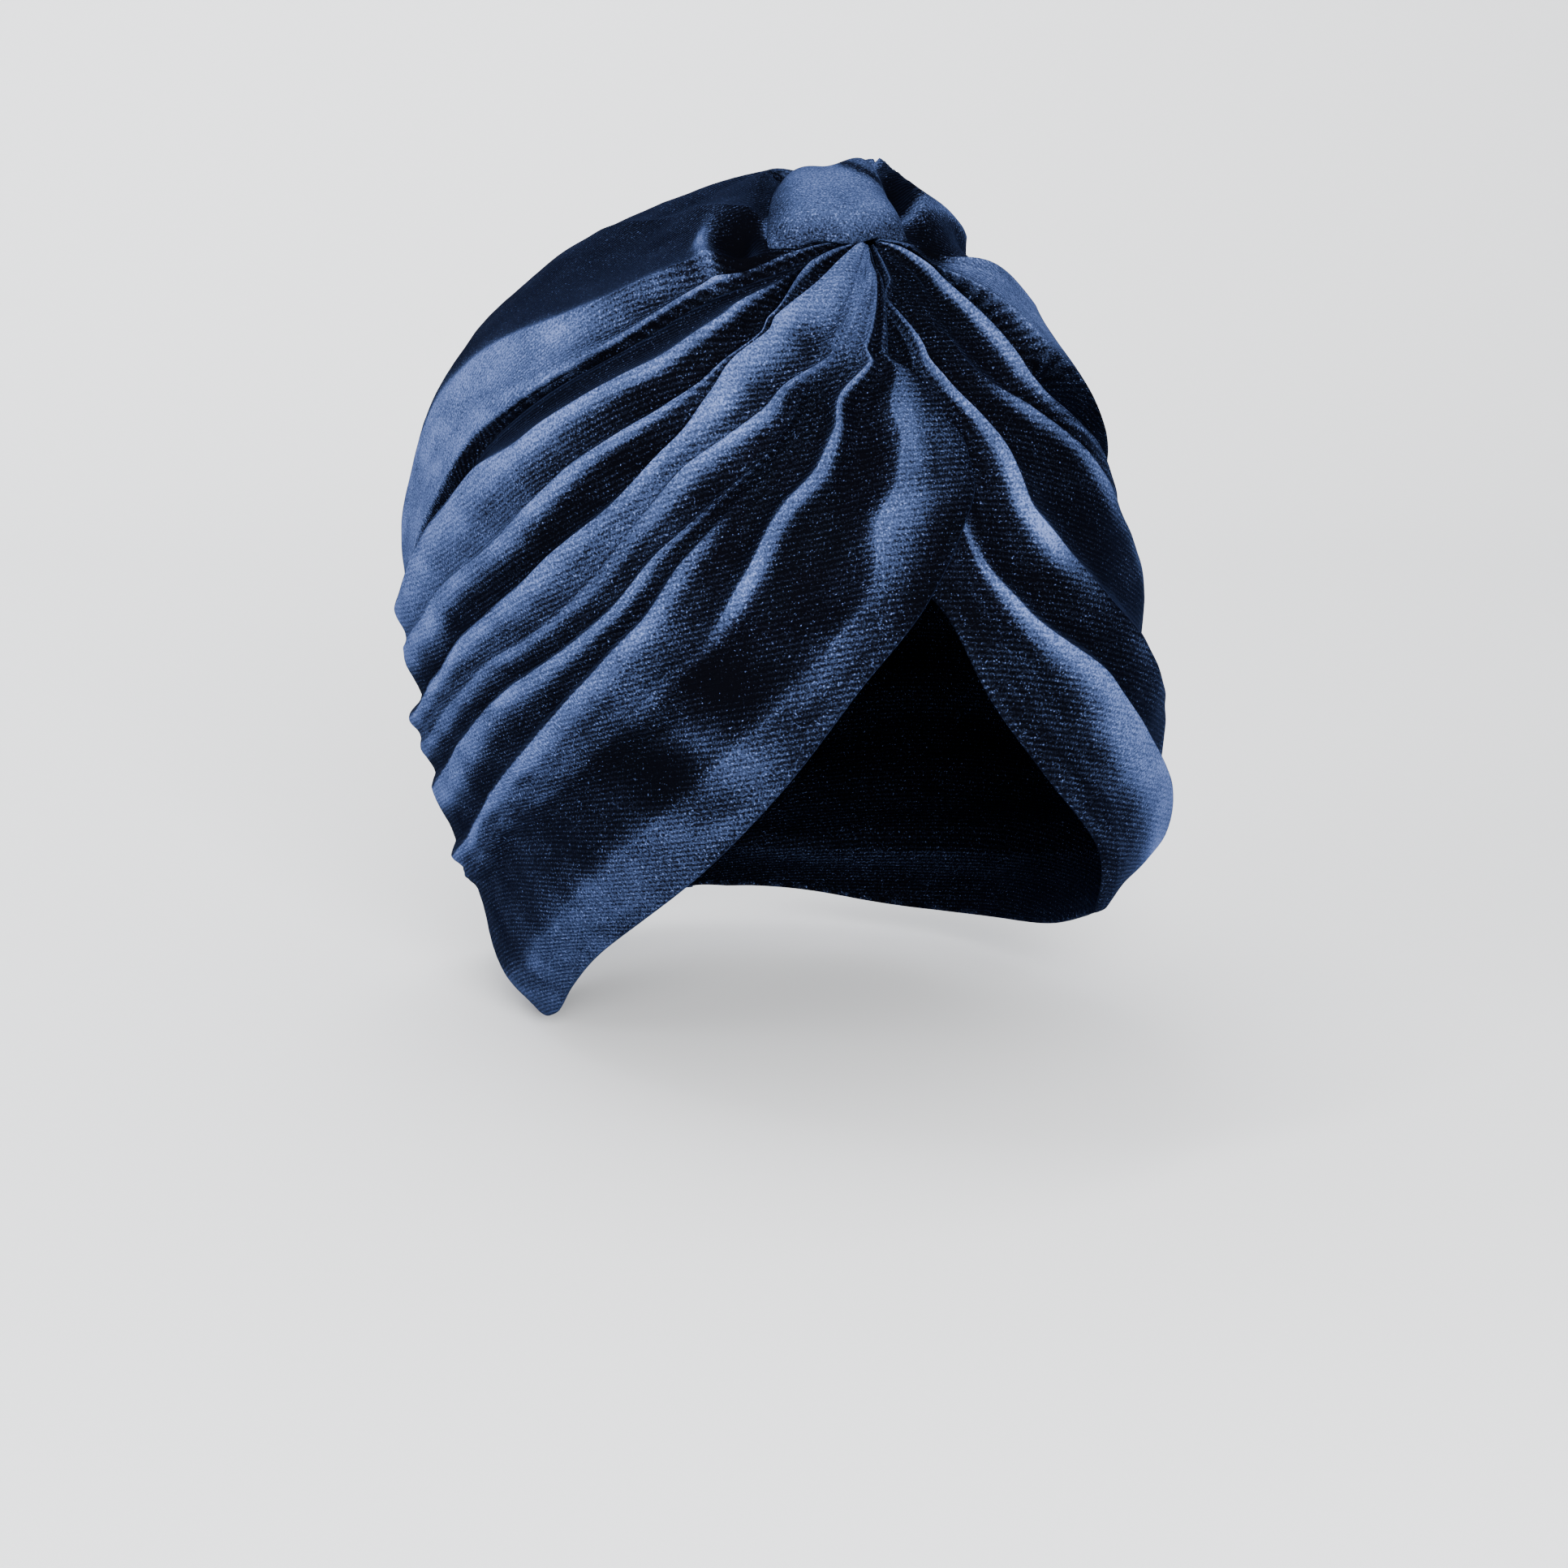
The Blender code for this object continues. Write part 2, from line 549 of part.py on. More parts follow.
def knot_band():
    def outer(along, across):
        return band_points(along, across, 0.0)

    def inner(along, across):
        return band_points(along, across, BAND_WALL)

    return cloth_object("knot_band", BAND_CELLS, BAND_CELLS, outer, inner)


# The wraps stop just short of each other at the back seam, and the crown short of the wraps
BACK_END = 0.9994
CROWN_END = 0.930
CROWN_RUN = BACK_END * CROWN_CELLS / RUN_CELLS

RIGHT_WRAP = Panel(right_hem, right_seam, RIGHT_FOLDS, RIGHT_HEIGHTS, RIGHT_LAP, BACK_END, BACK_END)
LEFT_WRAP = Panel(left_hem, left_seam, LEFT_FOLDS, LEFT_HEIGHTS, (), BACK_END, BACK_END)
CROWN = Panel(right_seam, left_seam_from_right, CROWN_FOLDS, CROWN_HEIGHTS, (), CROWN_RUN, CROWN_END)


def main():
    for item in list(bpy.data.objects):
        bpy.data.objects.remove(item, do_unlink=True)
    collection = bpy.data.collections.new(COLLECTION)
    bpy.context.scene.collection.children.link(collection)
    panel_object("right_wrap", RIGHT_WRAP, RUN_CELLS)
    panel_object("left_wrap", LEFT_WRAP, RUN_CELLS)
    panel_object("crown", CROWN, CROWN_CELLS)
    knot_band()


main()
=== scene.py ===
# Looks of the turban headwrap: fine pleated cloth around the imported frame
# Metres, +Z up, front of the cap toward -Y, the wearer's left toward +X.

import math

import bmesh
import bpy
import numpy as np
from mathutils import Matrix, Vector


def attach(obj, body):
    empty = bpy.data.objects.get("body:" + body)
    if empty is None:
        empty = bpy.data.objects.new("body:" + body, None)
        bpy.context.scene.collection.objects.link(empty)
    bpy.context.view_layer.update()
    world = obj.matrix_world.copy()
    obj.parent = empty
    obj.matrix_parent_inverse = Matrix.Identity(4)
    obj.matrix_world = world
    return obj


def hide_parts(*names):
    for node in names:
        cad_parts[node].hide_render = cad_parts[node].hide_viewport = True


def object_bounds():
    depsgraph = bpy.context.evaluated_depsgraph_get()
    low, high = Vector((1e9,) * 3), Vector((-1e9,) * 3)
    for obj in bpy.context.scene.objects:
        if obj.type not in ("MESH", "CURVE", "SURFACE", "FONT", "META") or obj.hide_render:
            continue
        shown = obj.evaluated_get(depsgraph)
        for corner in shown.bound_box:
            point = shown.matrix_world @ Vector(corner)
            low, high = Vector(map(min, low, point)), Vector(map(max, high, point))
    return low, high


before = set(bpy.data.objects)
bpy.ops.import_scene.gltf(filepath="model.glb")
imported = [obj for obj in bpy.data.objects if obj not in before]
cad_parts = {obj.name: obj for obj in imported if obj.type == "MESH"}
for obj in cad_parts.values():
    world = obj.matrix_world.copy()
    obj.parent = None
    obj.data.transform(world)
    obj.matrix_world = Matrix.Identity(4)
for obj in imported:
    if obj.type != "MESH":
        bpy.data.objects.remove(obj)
CAD_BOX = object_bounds()

# Driving dimensions, in metres
CROWN_RADIUS = 0.108
WALL = 0.0018
SEAM_GAP = 0.0005
LAP_LIFT = 0.0025
FOLD_RISE = 0.0060
BAND_WIDTH = 0.031
BAND_BACK_WIDTH = 0.015
BAND_WALL = 0.0020
BAND_LIFT = 0.0056

# The inner side of the cloth follows this share of the folds
INNER_FOLLOW = 0.8

# The lap of one wrap over the other starts and is complete at these arcs, in degrees
LAP_START = 5.0
LAP_FULL = 9.0

# Folds reach full height at this arc, in degrees, and start with this share of it at the knot
KNOT_ARC = 13.0
KNOT_SHARE = 0.45

# Squareness of a level section: 0 is an ellipse
SQUARENESS = 0.3

# The knot, as turn to the wearer's left and rise above level, in degrees, seen from the centre of the cap
KNOT_TURN = 5.0
KNOT_RISE = 63.0

# Middle of the band's front lip and of its back end, seen from above, as shares of CROWN_RADIUS
BAND_FRONT = np.array([-0.019, -0.435])
BAND_BACK = np.array([0.100, -0.060])

# The front lip bows forward by this share of CROWN_RADIUS. The lip and the back end roll down over these shares
# of the band's length.
BAND_BOW = 0.030
BAND_LIP = 0.15
BAND_TAIL = 0.30

# Painted light of the band, and how much painted shade it gets at its rim, where it has risen over the puffs, and
# in a crease that lies at this share of the rise and is this wide
BAND_PAINTED_LIGHT = 0.85
BAND_EDGE_SHADE = 0.40
RISEN_SHADE = 0.25
TUCK_SHADE = 0.60
TUCK_AT = 0.30
TUCK_WIDTH = 0.12

# Folds keep this share of their height under the band. They regain the rest past a margin, over a fade, in degrees.
PRESSED_SHARE = 0.10
PRESSED_MARGIN = 0.8
PRESSED_FADE = 2.6

# Toward its back left corner the band rides up over the puffs: from and to these shares of its length, by this
# lift in metres, with this much more of the puffs' height left under it, and from this far right of its middle
RIDE_FROM = 0.30
RIDE_TO = 0.75
RIDE_LIFT = 0.0060
RIDE_SHARE = 0.50
RIDE_REACH = 0.2

# Step along the run that gives an edge its direction, and rows that tie the run to the arc
RUN_PROBE = 0.002
RUN_ROWS = 401

# Section of a pleat: how hollow its slope is, and how fast it drops past its crest
SLOPE_HOLLOW = 1.3
CREST_DROP = 2.6

# Unevenness of real cloth: waves in a patch, then size along a fold in degrees of arc, size across in folds,
# and the amount that it moves the fold height, the painted shading or the place of a fold, as a share of each
RIPPLE_WAVES = 9
WRINKLE = (16.0, 1.3, 0.05)
CRUMPLE = (6.0, 0.8, 0.02)
PATCH = (11.0, 1.1, 0.05)
STREAK = (9.0, 0.35, 0.05)
WANDER = (9.0, 3.0, 0.05)

# Seeds of the ripples that move the places of the folds, their height, their painted shading, and the painted
# shading of the band
WANDER_SEED = 5
HEIGHT_SEED = 11
SHADING_SEED = 23
BAND_SEED = 31

# The pleats flatten into the back seam over this share of the run
END_FADE = 0.02

# Toward the back, between these arcs, the pleats turn from leaning to evenly rounded
ROUND_FROM = 40.0
ROUND_TO = 72.0

# The painted light brightens over this share of the rest of a slope, and the painted shade falls past the crest at
# this rate
LIGHT_SPAN = 0.75
SHADE_DROP = 7.0

CENTRE = np.array([0.0, 0.0, WALL - CROWN_RADIUS])

# Rest form of the cap: reach from the centre as a share of CROWN_RADIUS
# rise (degrees), wearer's right, wearer's left, front, back
FORM = [
    (-70, 1.040, 0.955, 0.850, 0.780),
    (-55, 0.955, 0.900, 0.935, 0.825),
    (-38, 0.835, 0.845, 1.010, 0.870),
    (-20, 0.765, 0.815, 1.055, 0.915),
    (0, 0.745, 0.738, 1.055, 0.940),
    (22, 0.775, 0.715, 1.030, 0.945),
    (45, 0.870, 0.780, 1.035, 0.935),
    (68, 0.900, 0.905, 1.035, 0.945),
    (90, 1.000, 1.000, 1.000, 1.000),
]

# Places on the cap are given by arc from the knot and bearing about the knot, both in degrees.
# Bearing 0 runs straight down the front, 90 to the wearer's right, 180 over the crown.

# Edges of the right wrap: share of its run, then arc and bearing of its hem and of its crown seam
RIGHT_EDGES = [
    (0.000, 1.5, 15.0, 1.5, 84.0),
    (0.060, 11.0, 16.0, 11.0, 80.0),
    (0.120, 20.5, 17.5, 20.5, 86.0),
    (0.145, 23.0, 10.0, 23.0, 87.0),
    (0.180, 27.5, 5.0, 27.5, 88.0),
    (0.210, 32.0, 0.5, 32.0, 90.0),
    (0.240, 36.0, 0.5, 36.0, 93.0),
    (0.275, 41.0, 4.0, 41.0, 97.0),
    (0.330, 49.0, 10.5, 49.0, 102.5),
    (0.400, 60.0, 19.5, 60.0, 109.0),
    (0.470, 72.0, 26.0, 70.0, 113.0),
    (0.540, 85.0, 32.5, 79.0, 117.0),
    (0.610, 98.0, 39.0, 87.0, 120.0),
    (0.670, 110.0, 44.5, 93.0, 124.0),
    (0.730, 122.0, 49.0, 99.0, 131.0),
    (0.790, 131.6, 52.4, 104.5, 142.0),
    (0.830, 138.0, 56.4, 107.6, 150.0),
    (0.865, 143.5, 62.5, 109.9, 157.0),
    (0.895, 149.0, 70.0, 111.7, 164.0),
    (0.925, 156.3, 83.0, 113.0, 170.5),
    (0.950, 163.4, 101.0, 113.5, 176.3),
    (0.970, 168.9, 129.4, 113.6, 180.0),
    (0.985, 171.1, 161.0, 113.7, 182.8),
    (1.000, 170.6, 198.4, 113.7, 185.5),
]

# Edges of the left wrap, in the same columns
LEFT_EDGES = [
    (0.000, 1.5, 12.0, 1.5, -80.0),
    (0.045, 8.0, 12.5, 8.0, -57.0),
    (0.075, 13.0, 25.0, 12.0, -46.0),
    (0.120, 20.5, 27.0, 20.5, -37.5),
    (0.145, 24.0, 23.0, 24.0, -40.0),
    (0.180, 30.0, 18.0, 27.5, -51.0),
    (0.210, 35.0, 17.0, 32.0, -62.0),
    (0.240, 40.0, 17.0, 36.0, -71.0),
    (0.275, 45.0, 14.0, 41.0, -78.0),
    (0.330, 51.0, 7.0, 49.0, -86.5),
    (0.400, 60.0, 1.5, 58.0, -93.0),
    (0.470, 70.0, -7.0, 68.0, -99.0),
    (0.540, 82.0, -17.5, 78.0, -105.0),
    (0.610, 94.0, -24.0, 86.0, -112.0),
    (0.670, 105.0, -34.0, 92.0, -121.0),
    (0.730, 118.0, -43.5, 98.0, -131.0),
    (0.790, 129.0, -54.5, 103.5, -142.0),
    (0.850, 141.0, -70.0, 108.0, -152.0),
    (0.895, 150.3, -83.6, 111.0, -159.0),
    (0.925, 157.1, -97.1, 112.7, -163.0),
    (0.950, 163.9, -114.7, 113.4, -167.0),
    (0.970, 168.1, -132.3, 113.6, -170.0),
    (1.000, 170.6, -161.6, 113.7, -174.5),
]

# Arcs at which the folds are given
FOLD_ARCS = (10, 20, 30, 40, 50, 60, 80, 100)

# Folds of the right wrap from the hem up: bearing at each of FOLD_ARCS. Valleys and crests take turns.
RIGHT_FOLDS = [
    ("flap swell", 17.5, 19.5, 16, 18.5, 20, 27, 40, 51),
    ("flap hollow", 19, 22, 24, 27, 29, 35, 49, 64),
    ("short ridge", 20, 24.5, 29.5, 34, 37.5, 41, 54, 67),
    ("ridge valley", 22, 27, 33, 37, 40, 43, 55, 68),
    ("pleat 6", 24, 29, 35, 41, 47, 50, 60.5, 71),
    ("valley 5", 26, 30.5, 36.5, 42.5, 48.5, 51.5, 62.5, 73),
    ("pleat 5", 28, 32, 38, 44, 51, 55.5, 70, 82.5),
    ("valley 4", 30, 33.5, 39, 45, 52.5, 57, 72, 85),
    ("front leaf", 32, 35, 43.5, 53, 58, 62, 77, 90),
    ("leaf valley", 34, 38, 45.5, 54.3, 59.5, 63.5, 79, 92),
    ("pleat 4", 50.5, 53.8, 56.5, 58.5, 64, 70.2, 84, 95),
    ("valley 3", 57, 54.8, 57.3, 61.5, 68.5, 75, 88, 99),
    ("pleat 3", 65.5, 56.3, 59.5, 68.5, 77.5, 83.5, 97, 108),
    ("valley 2", 66.5, 61, 64, 72, 79.5, 86, 99, 110),
    ("pleat 2", 67.5, 68.5, 72, 82, 89.5, 98.5, 108, 115),
]

# Height at each of FOLD_ARCS and at the back seam, as a share of FOLD_RISE
RIGHT_HEIGHTS = [
    ("hem", 0.00, 0.00, 0.00, 0.00, 0.00, 0.00, 0.00, 0.00, 0.00),
    ("flap swell", 0.05, 0.10, 0.30, 0.35, 0.35, 0.30, 0.30, 0.30, 0.20),
    ("flap hollow", 0.00, -0.05, -0.20, -0.30, -0.35, -0.40, -0.40, -0.35, 0.00),
    ("short ridge", 0.05, 0.30, 0.55, 0.60, 0.45, 0.10, 0.10, 0.20, 0.05),
    ("ridge valley", 0.10, 0.10, 0.00, -0.10, -0.05, 0.05, 0.05, 0.10, 0.05),
    ("pleat 6", 0.15, 0.25, 0.00, 0.00, 0.45, 0.70, 0.60, 0.45, 0.25),
    ("valley 5", 0.15, 0.20, -0.05, -0.10, -0.05, 0.00, -0.05, -0.05, 0.00),
    ("pleat 5", 0.15, 0.25, 0.05, 0.15, 0.50, 0.60, 0.55, 0.42, 0.20),
    ("valley 4", 0.15, 0.25, 0.10, 0.05, 0.10, 0.05, -0.05, -0.05, 0.00),
    ("front leaf", 0.20, 0.35, 0.60, 0.60, 0.35, 0.25, 0.30, 0.30, 0.10),
    ("leaf valley", 0.20, 0.20, 0.15, 0.25, 0.25, 0.20, 0.25, 0.25, 0.05),
    ("pleat 4", 0.45, 0.70, 0.80, 0.80, 0.80, 0.85, 0.70, 0.55, 0.30),
    ("valley 3", -0.10, 0.30, 0.25, -0.30, -0.40, -0.35, -0.30, -0.25, 0.00),
    ("pleat 3", 0.30, 0.65, 0.55, 0.60, 0.55, 0.50, 0.45, 0.45, 0.20),
    ("valley 2", 0.00, -0.20, -0.30, 0.05, 0.20, 0.25, 0.25, 0.25, 0.10),
    ("pleat 2", 0.10, 0.50, 0.65, 0.70, 0.80, 0.90, 0.85, 0.80, 0.30),
    ("seam", -0.30, -0.40, -0.40, -0.40, -0.40, -0.40, -0.40, -0.35, -0.10),
]

# Painted light and shade at each of FOLD_ARCS: 0 is full painted shade, 1 full painted light, set where the folds
# are lit or shaded
RIGHT_PAINTED_SHADING = [
    ("hem", 0.25, 0.25, 0.30, 0.15, 0.15, 0.25, 0.42, 0.50),
    ("flap swell", 0.15, 0.30, 0.72, 0.65, 0.45, 0.38, 0.48, 0.52),
    ("flap hollow", 0.05, 0.05, 0.02, 0.00, 0.00, 0.02, 0.05, 0.15),
    ("short ridge", 0.70, 0.85, 0.85, 0.80, 0.85, 0.35, 0.40, 0.30),
    ("ridge valley", 0.70, 0.50, 0.05, 0.02, 0.05, 0.30, 0.45, 0.40),
    ("pleat 6", 0.75, 0.55, 0.10, 0.10, 0.60, 0.78, 0.85, 0.85),
    ("valley 5", 0.75, 0.55, 0.05, 0.02, 0.10, 0.12, 0.08, 0.10),
    ("pleat 5", 0.80, 0.60, 0.10, 0.25, 0.70, 0.78, 0.85, 0.85),
    ("valley 4", 0.80, 0.60, 0.15, 0.10, 0.20, 0.15, 0.08, 0.10),
    ("front leaf", 0.80, 0.60, 0.85, 0.85, 0.65, 0.60, 0.72, 0.75),
    ("leaf valley", 0.75, 0.45, 0.25, 0.50, 0.50, 0.35, 0.35, 0.40),
    ("pleat 4", 0.85, 0.90, 0.90, 0.85, 0.80, 0.85, 0.90, 0.88),
    ("valley 3", 0.02, 0.30, 0.30, 0.02, 0.00, 0.02, 0.02, 0.08),
    ("pleat 3", 0.80, 0.85, 0.75, 0.85, 0.85, 0.85, 0.90, 0.88),
    ("valley 2", 0.05, 0.02, 0.00, 0.10, 0.35, 0.50, 0.60, 0.60),
    ("pleat 2", 0.10, 0.80, 0.90, 0.90, 0.92, 0.92, 0.92, 0.90),
    ("seam", 0.02, 0.02, 0.02, 0.02, 0.02, 0.02, 0.05, 0.15),
]

# How far the right wrap lies on top of the left one: share of LAP_LIFT at each of FOLD_ARCS
RIGHT_LAP = [
    ("hem", 1.0, 1.0, 1.0, 1.0, 1.0, 0.1, 0.0, 0.0),
    ("flap swell", 1.0, 1.0, 1.0, 1.0, 0.6, 0.0, 0.0, 0.0),
    ("flap hollow", 1.0, 1.0, 1.0, 0.5, 0.1, 0.0, 0.0, 0.0),
    ("short ridge", 1.0, 1.0, 0.6, 0.1, 0.0, 0.0, 0.0, 0.0),
    ("ridge valley", 1.0, 0.8, 0.3, 0.0, 0.0, 0.0, 0.0, 0.0),
    ("pleat 6", 0.9, 0.7, 0.2, 0.0, 0.0, 0.0, 0.0, 0.0),
    ("valley 5", 0.8, 0.6, 0.1, 0.0, 0.0, 0.0, 0.0, 0.0),
    ("pleat 5", 0.7, 0.5, 0.0, 0.0, 0.0, 0.0, 0.0, 0.0),
    ("valley 4", 0.6, 0.4, 0.0, 0.0, 0.0, 0.0, 0.0, 0.0),
    ("front leaf", 0.5, 0.3, 0.0, 0.0, 0.0, 0.0, 0.0, 0.0),
    ("leaf valley", 0.4, 0.2, 0.0, 0.0, 0.0, 0.0, 0.0, 0.0),
]

# Folds of the left wrap, from the tucked edge and hem up to the crown seam
LEFT_FOLDS = [
    ("border", 19, 15, 5, 4.5, 3, -4, -20, -36),
    ("border crease", 17, 12, 3, 4, -0.5, -8, -22, -40),
    ("brow pleat", 15, 9, 1, 2.5, -4, -17, -34, -50),
    ("brow valley", 14, 7, -2, -3, -8, -20, -38, -55),
    ("temple ridge", 13, 4.5, -7, -10.5, -20.5, -30, -48, -63),
    ("temple valley", 2, 0, -12, -20, -28, -37, -54, -70),
    ("upper ridge", -8, -10, -25, -38.7, -47, -55, -70, -86),
    ("upper valley", -20, -19, -28, -42, -50, -59, -74, -90),
    ("roll", -30, -30.5, -31.5, -50, -60, -68, -84, -100),
]

LEFT_HEIGHTS = [
    ("tucked edge", -0.15, -0.15, -0.15, -0.15, -0.05, 0.00, 0.00, 0.00, 0.00),
    ("border", -0.10, -0.10, -0.10, -0.10, 0.05, 0.10, 0.15, 0.10, 0.00),
    ("border crease", -0.10, -0.10, -0.10, -0.10, 0.05, 0.10, 0.15, 0.10, 0.00),
    ("brow pleat", 0.00, 0.00, -0.05, 0.05, 0.50, 0.75, 0.95, 0.85, 0.25),
    ("brow valley", 0.00, 0.05, 0.00, -0.05, 0.00, -0.10, -0.20, -0.20, 0.00),
    ("temple ridge", 0.25, 0.45, 0.60, 0.55, 0.50, 0.55, 0.65, 0.60, 0.25),
    ("temple valley", -0.10, -0.15, -0.30, -0.30, -0.30, -0.25, -0.20, -0.20, 0.00),
    ("upper ridge", 0.00, 0.05, 0.45, 0.60, 0.60, 0.60, 0.60, 0.55, 0.20),
    ("upper valley", -0.10, -0.15, 0.00, 0.00, -0.05, -0.10, -0.15, -0.15, 0.00),
    ("roll", 0.45, 0.60, 0.70, 0.65, 0.70, 0.70, 0.65, 0.60, 0.25),
    ("seam", -0.30, -0.40, -0.40, -0.40, -0.40, -0.40, -0.40, -0.35, -0.10),
]

# Painted light and shade of the left wrap, in the same columns
LEFT_PAINTED_SHADING = [
    ("tucked edge", 0.05, 0.05, 0.05, 0.05, 0.10, 0.15, 0.20, 0.20),
    ("border", 0.05, 0.05, 0.05, 0.05, 0.08, 0.12, 0.18, 0.25),
    ("border crease", 0.05, 0.05, 0.05, 0.10, 0.10, 0.15, 0.25, 0.30),
    ("brow pleat", 0.05, 0.05, 0.10, 0.65, 0.88, 0.92, 0.98, 0.92),
    ("brow valley", 0.30, 0.30, 0.05, 0.02, 0.02, 0.05, 0.10, 0.20),
    ("temple ridge", 0.60, 0.85, 0.85, 0.85, 0.35, 0.30, 0.30, 0.40),
    ("temple valley", 0.02, 0.02, 0.00, 0.00, 0.02, 0.02, 0.05, 0.10),
    ("upper ridge", 0.02, 0.05, 0.75, 0.75, 0.50, 0.50, 0.55, 0.55),
    ("upper valley", 0.02, 0.02, 0.10, 0.05, 0.02, 0.02, 0.05, 0.10),
    ("roll", 0.85, 0.85, 0.75, 0.40, 0.35, 0.40, 0.50, 0.50),
    ("seam", 0.02, 0.02, 0.02, 0.02, 0.02, 0.02, 0.05, 0.10),
]

# Folds of the crown, from the right seam over the back to the left seam
CROWN_FOLDS = [
    ("seam ridge", 86, 89, 90.5, 96, 103, 111, 119, 124),
    ("ridge valley", 88, 92, 94, 100, 107, 115, 122.5, 129),
    ("big roll", 92, 98, 102, 110, 118, 122, 129, 139),
    ("roll hollow", 110, 122, 130, 134, 137, 141, 146, 154),
    ("top pleat", 130, 142, 150, 154, 157, 158, 160, 164),
    ("top dip", 152, 160, 165, 168, 169, 170, 171, 173),
    ("middle pleat", 175, 180, 183, 184, 184, 183, 181, 180),
    ("middle dip", 190, 191, 192, 192, 192, 191, 188, 185),
    ("puff 1", 205, 208, 209, 209, 208, 205, 198, 192),
    ("puff crease 1", 220, 224, 227, 225, 221, 216, 206, 198),
    ("puff 2", 240, 243, 236, 233, 230, 227, 216, 205),
    ("puff crease 2", 294, 255, 240, 239, 238, 235, 224, 211),
    ("puff 3", 302, 280, 270, 262, 256, 250, 236, 217),
    ("side dip", 312, 300, 290, 281, 273, 264, 247, 224),
    ("side roll", 320, 314, 308, 299, 289, 278, 258, 232),
]

CROWN_HEIGHTS = [
    ("right seam", -0.30, -0.40, -0.40, -0.40, -0.40, -0.40, -0.40, -0.35, -0.10),
    ("seam ridge", 0.10, 0.20, 0.20, 0.20, 0.25, 0.30, 0.25, 0.20, 0.05),
    ("ridge valley", 0.00, 0.05, 0.15, 0.35, 0.50, 0.50, 0.40, 0.30, 0.10),
    ("big roll", 0.50, 0.80, 1.00, 1.10, 1.10, 1.00, 0.80, 0.60, 0.25),
    ("roll hollow", 0.20, 0.30, 0.45, 0.60, 0.60, 0.50, 0.30, 0.20, 0.00),
    ("top pleat", 0.40, 0.70, 0.90, 0.90, 0.80, 0.65, 0.45, 0.30, 0.15),
    ("top dip", 0.20, 0.40, 0.60, 0.65, 0.60, 0.45, 0.20, 0.05, 0.00),
    ("middle pleat", 0.40, 0.70, 0.80, 0.80, 0.70, 0.60, 0.40, 0.25, 0.15),
    ("middle dip", 0.90, 1.10, 0.90, 0.60, 0.40, 0.20, 0.10, 0.00, 0.00),
    ("puff 1", 2.20, 2.60, 2.50, 1.80, 1.00, 0.60, 0.35, 0.20, 0.10),
    ("puff crease 1", 1.60, 1.80, 1.20, 0.50, 0.20, 0.00, 0.00, 0.00, 0.00),
    ("puff 2", 1.00, 1.30, 1.20, 0.90, 0.70, 0.50, 0.40, 0.30, 0.10),
    ("puff crease 2", 0.30, 0.45, 0.40, 0.30, 0.20, 0.10, 0.00, 0.00, 0.00),
    ("puff 3", 0.80, 1.20, 1.25, 1.10, 0.90, 0.70, 0.45, 0.35, 0.10),
    ("side dip", 0.60, 0.95, 1.00, 0.90, 0.70, 0.50, 0.30, 0.20, 0.05),
    ("side roll", 0.60, 1.00, 1.20, 1.10, 0.90, 0.70, 0.45, 0.30, 0.10),
    ("left seam", -0.30, -0.40, -0.40, -0.40, -0.40, -0.40, -0.40, -0.35, -0.10),
]

# Painted light and shade of the crown, in the same columns
CROWN_PAINTED_SHADING = [
    ("right seam", 0.05, 0.05, 0.05, 0.05, 0.05, 0.05, 0.10, 0.15),
    ("seam ridge", 0.60, 0.85, 0.80, 0.80, 0.85, 0.90, 0.85, 0.70),
    ("ridge valley", 0.10, 0.20, 0.35, 0.75, 0.85, 0.90, 0.85, 0.70),
    ("big roll", 0.15, 0.30, 0.55, 0.90, 0.95, 0.95, 0.90, 0.75),
    ("roll hollow", 0.02, 0.10, 0.05, 0.02, 0.02, 0.05, 0.10, 0.20),
    ("top pleat", 0.10, 0.15, 0.10, 0.12, 0.15, 0.15, 0.15, 0.30),
    ("top dip", 0.02, 0.05, 0.05, 0.05, 0.05, 0.08, 0.10, 0.20),
    ("middle pleat", 0.20, 0.20, 0.15, 0.15, 0.15, 0.20, 0.25, 0.35),
    ("middle dip", 0.60, 0.60, 0.50, 0.30, 0.15, 0.15, 0.15, 0.20),
    ("puff 1", 0.75, 0.75, 0.65, 0.45, 0.35, 0.30, 0.35, 0.40),
    ("puff crease 1", 0.10, 0.05, 0.05, 0.05, 0.05, 0.08, 0.10, 0.20),
    ("puff 2", 0.70, 0.75, 0.70, 0.55, 0.45, 0.40, 0.40, 0.45),
    ("puff crease 2", 0.05, 0.05, 0.05, 0.05, 0.05, 0.08, 0.10, 0.20),
    ("puff 3", 0.80, 0.85, 0.75, 0.30, 0.15, 0.25, 0.40, 0.45),
    ("side dip", 0.75, 0.80, 0.60, 0.08, 0.05, 0.10, 0.30, 0.40),
    ("side roll", 0.70, 0.70, 0.40, 0.10, 0.10, 0.25, 0.45, 0.50),
    ("left seam", 0.05, 0.05, 0.05, 0.05, 0.05, 0.05, 0.10, 0.15),
]
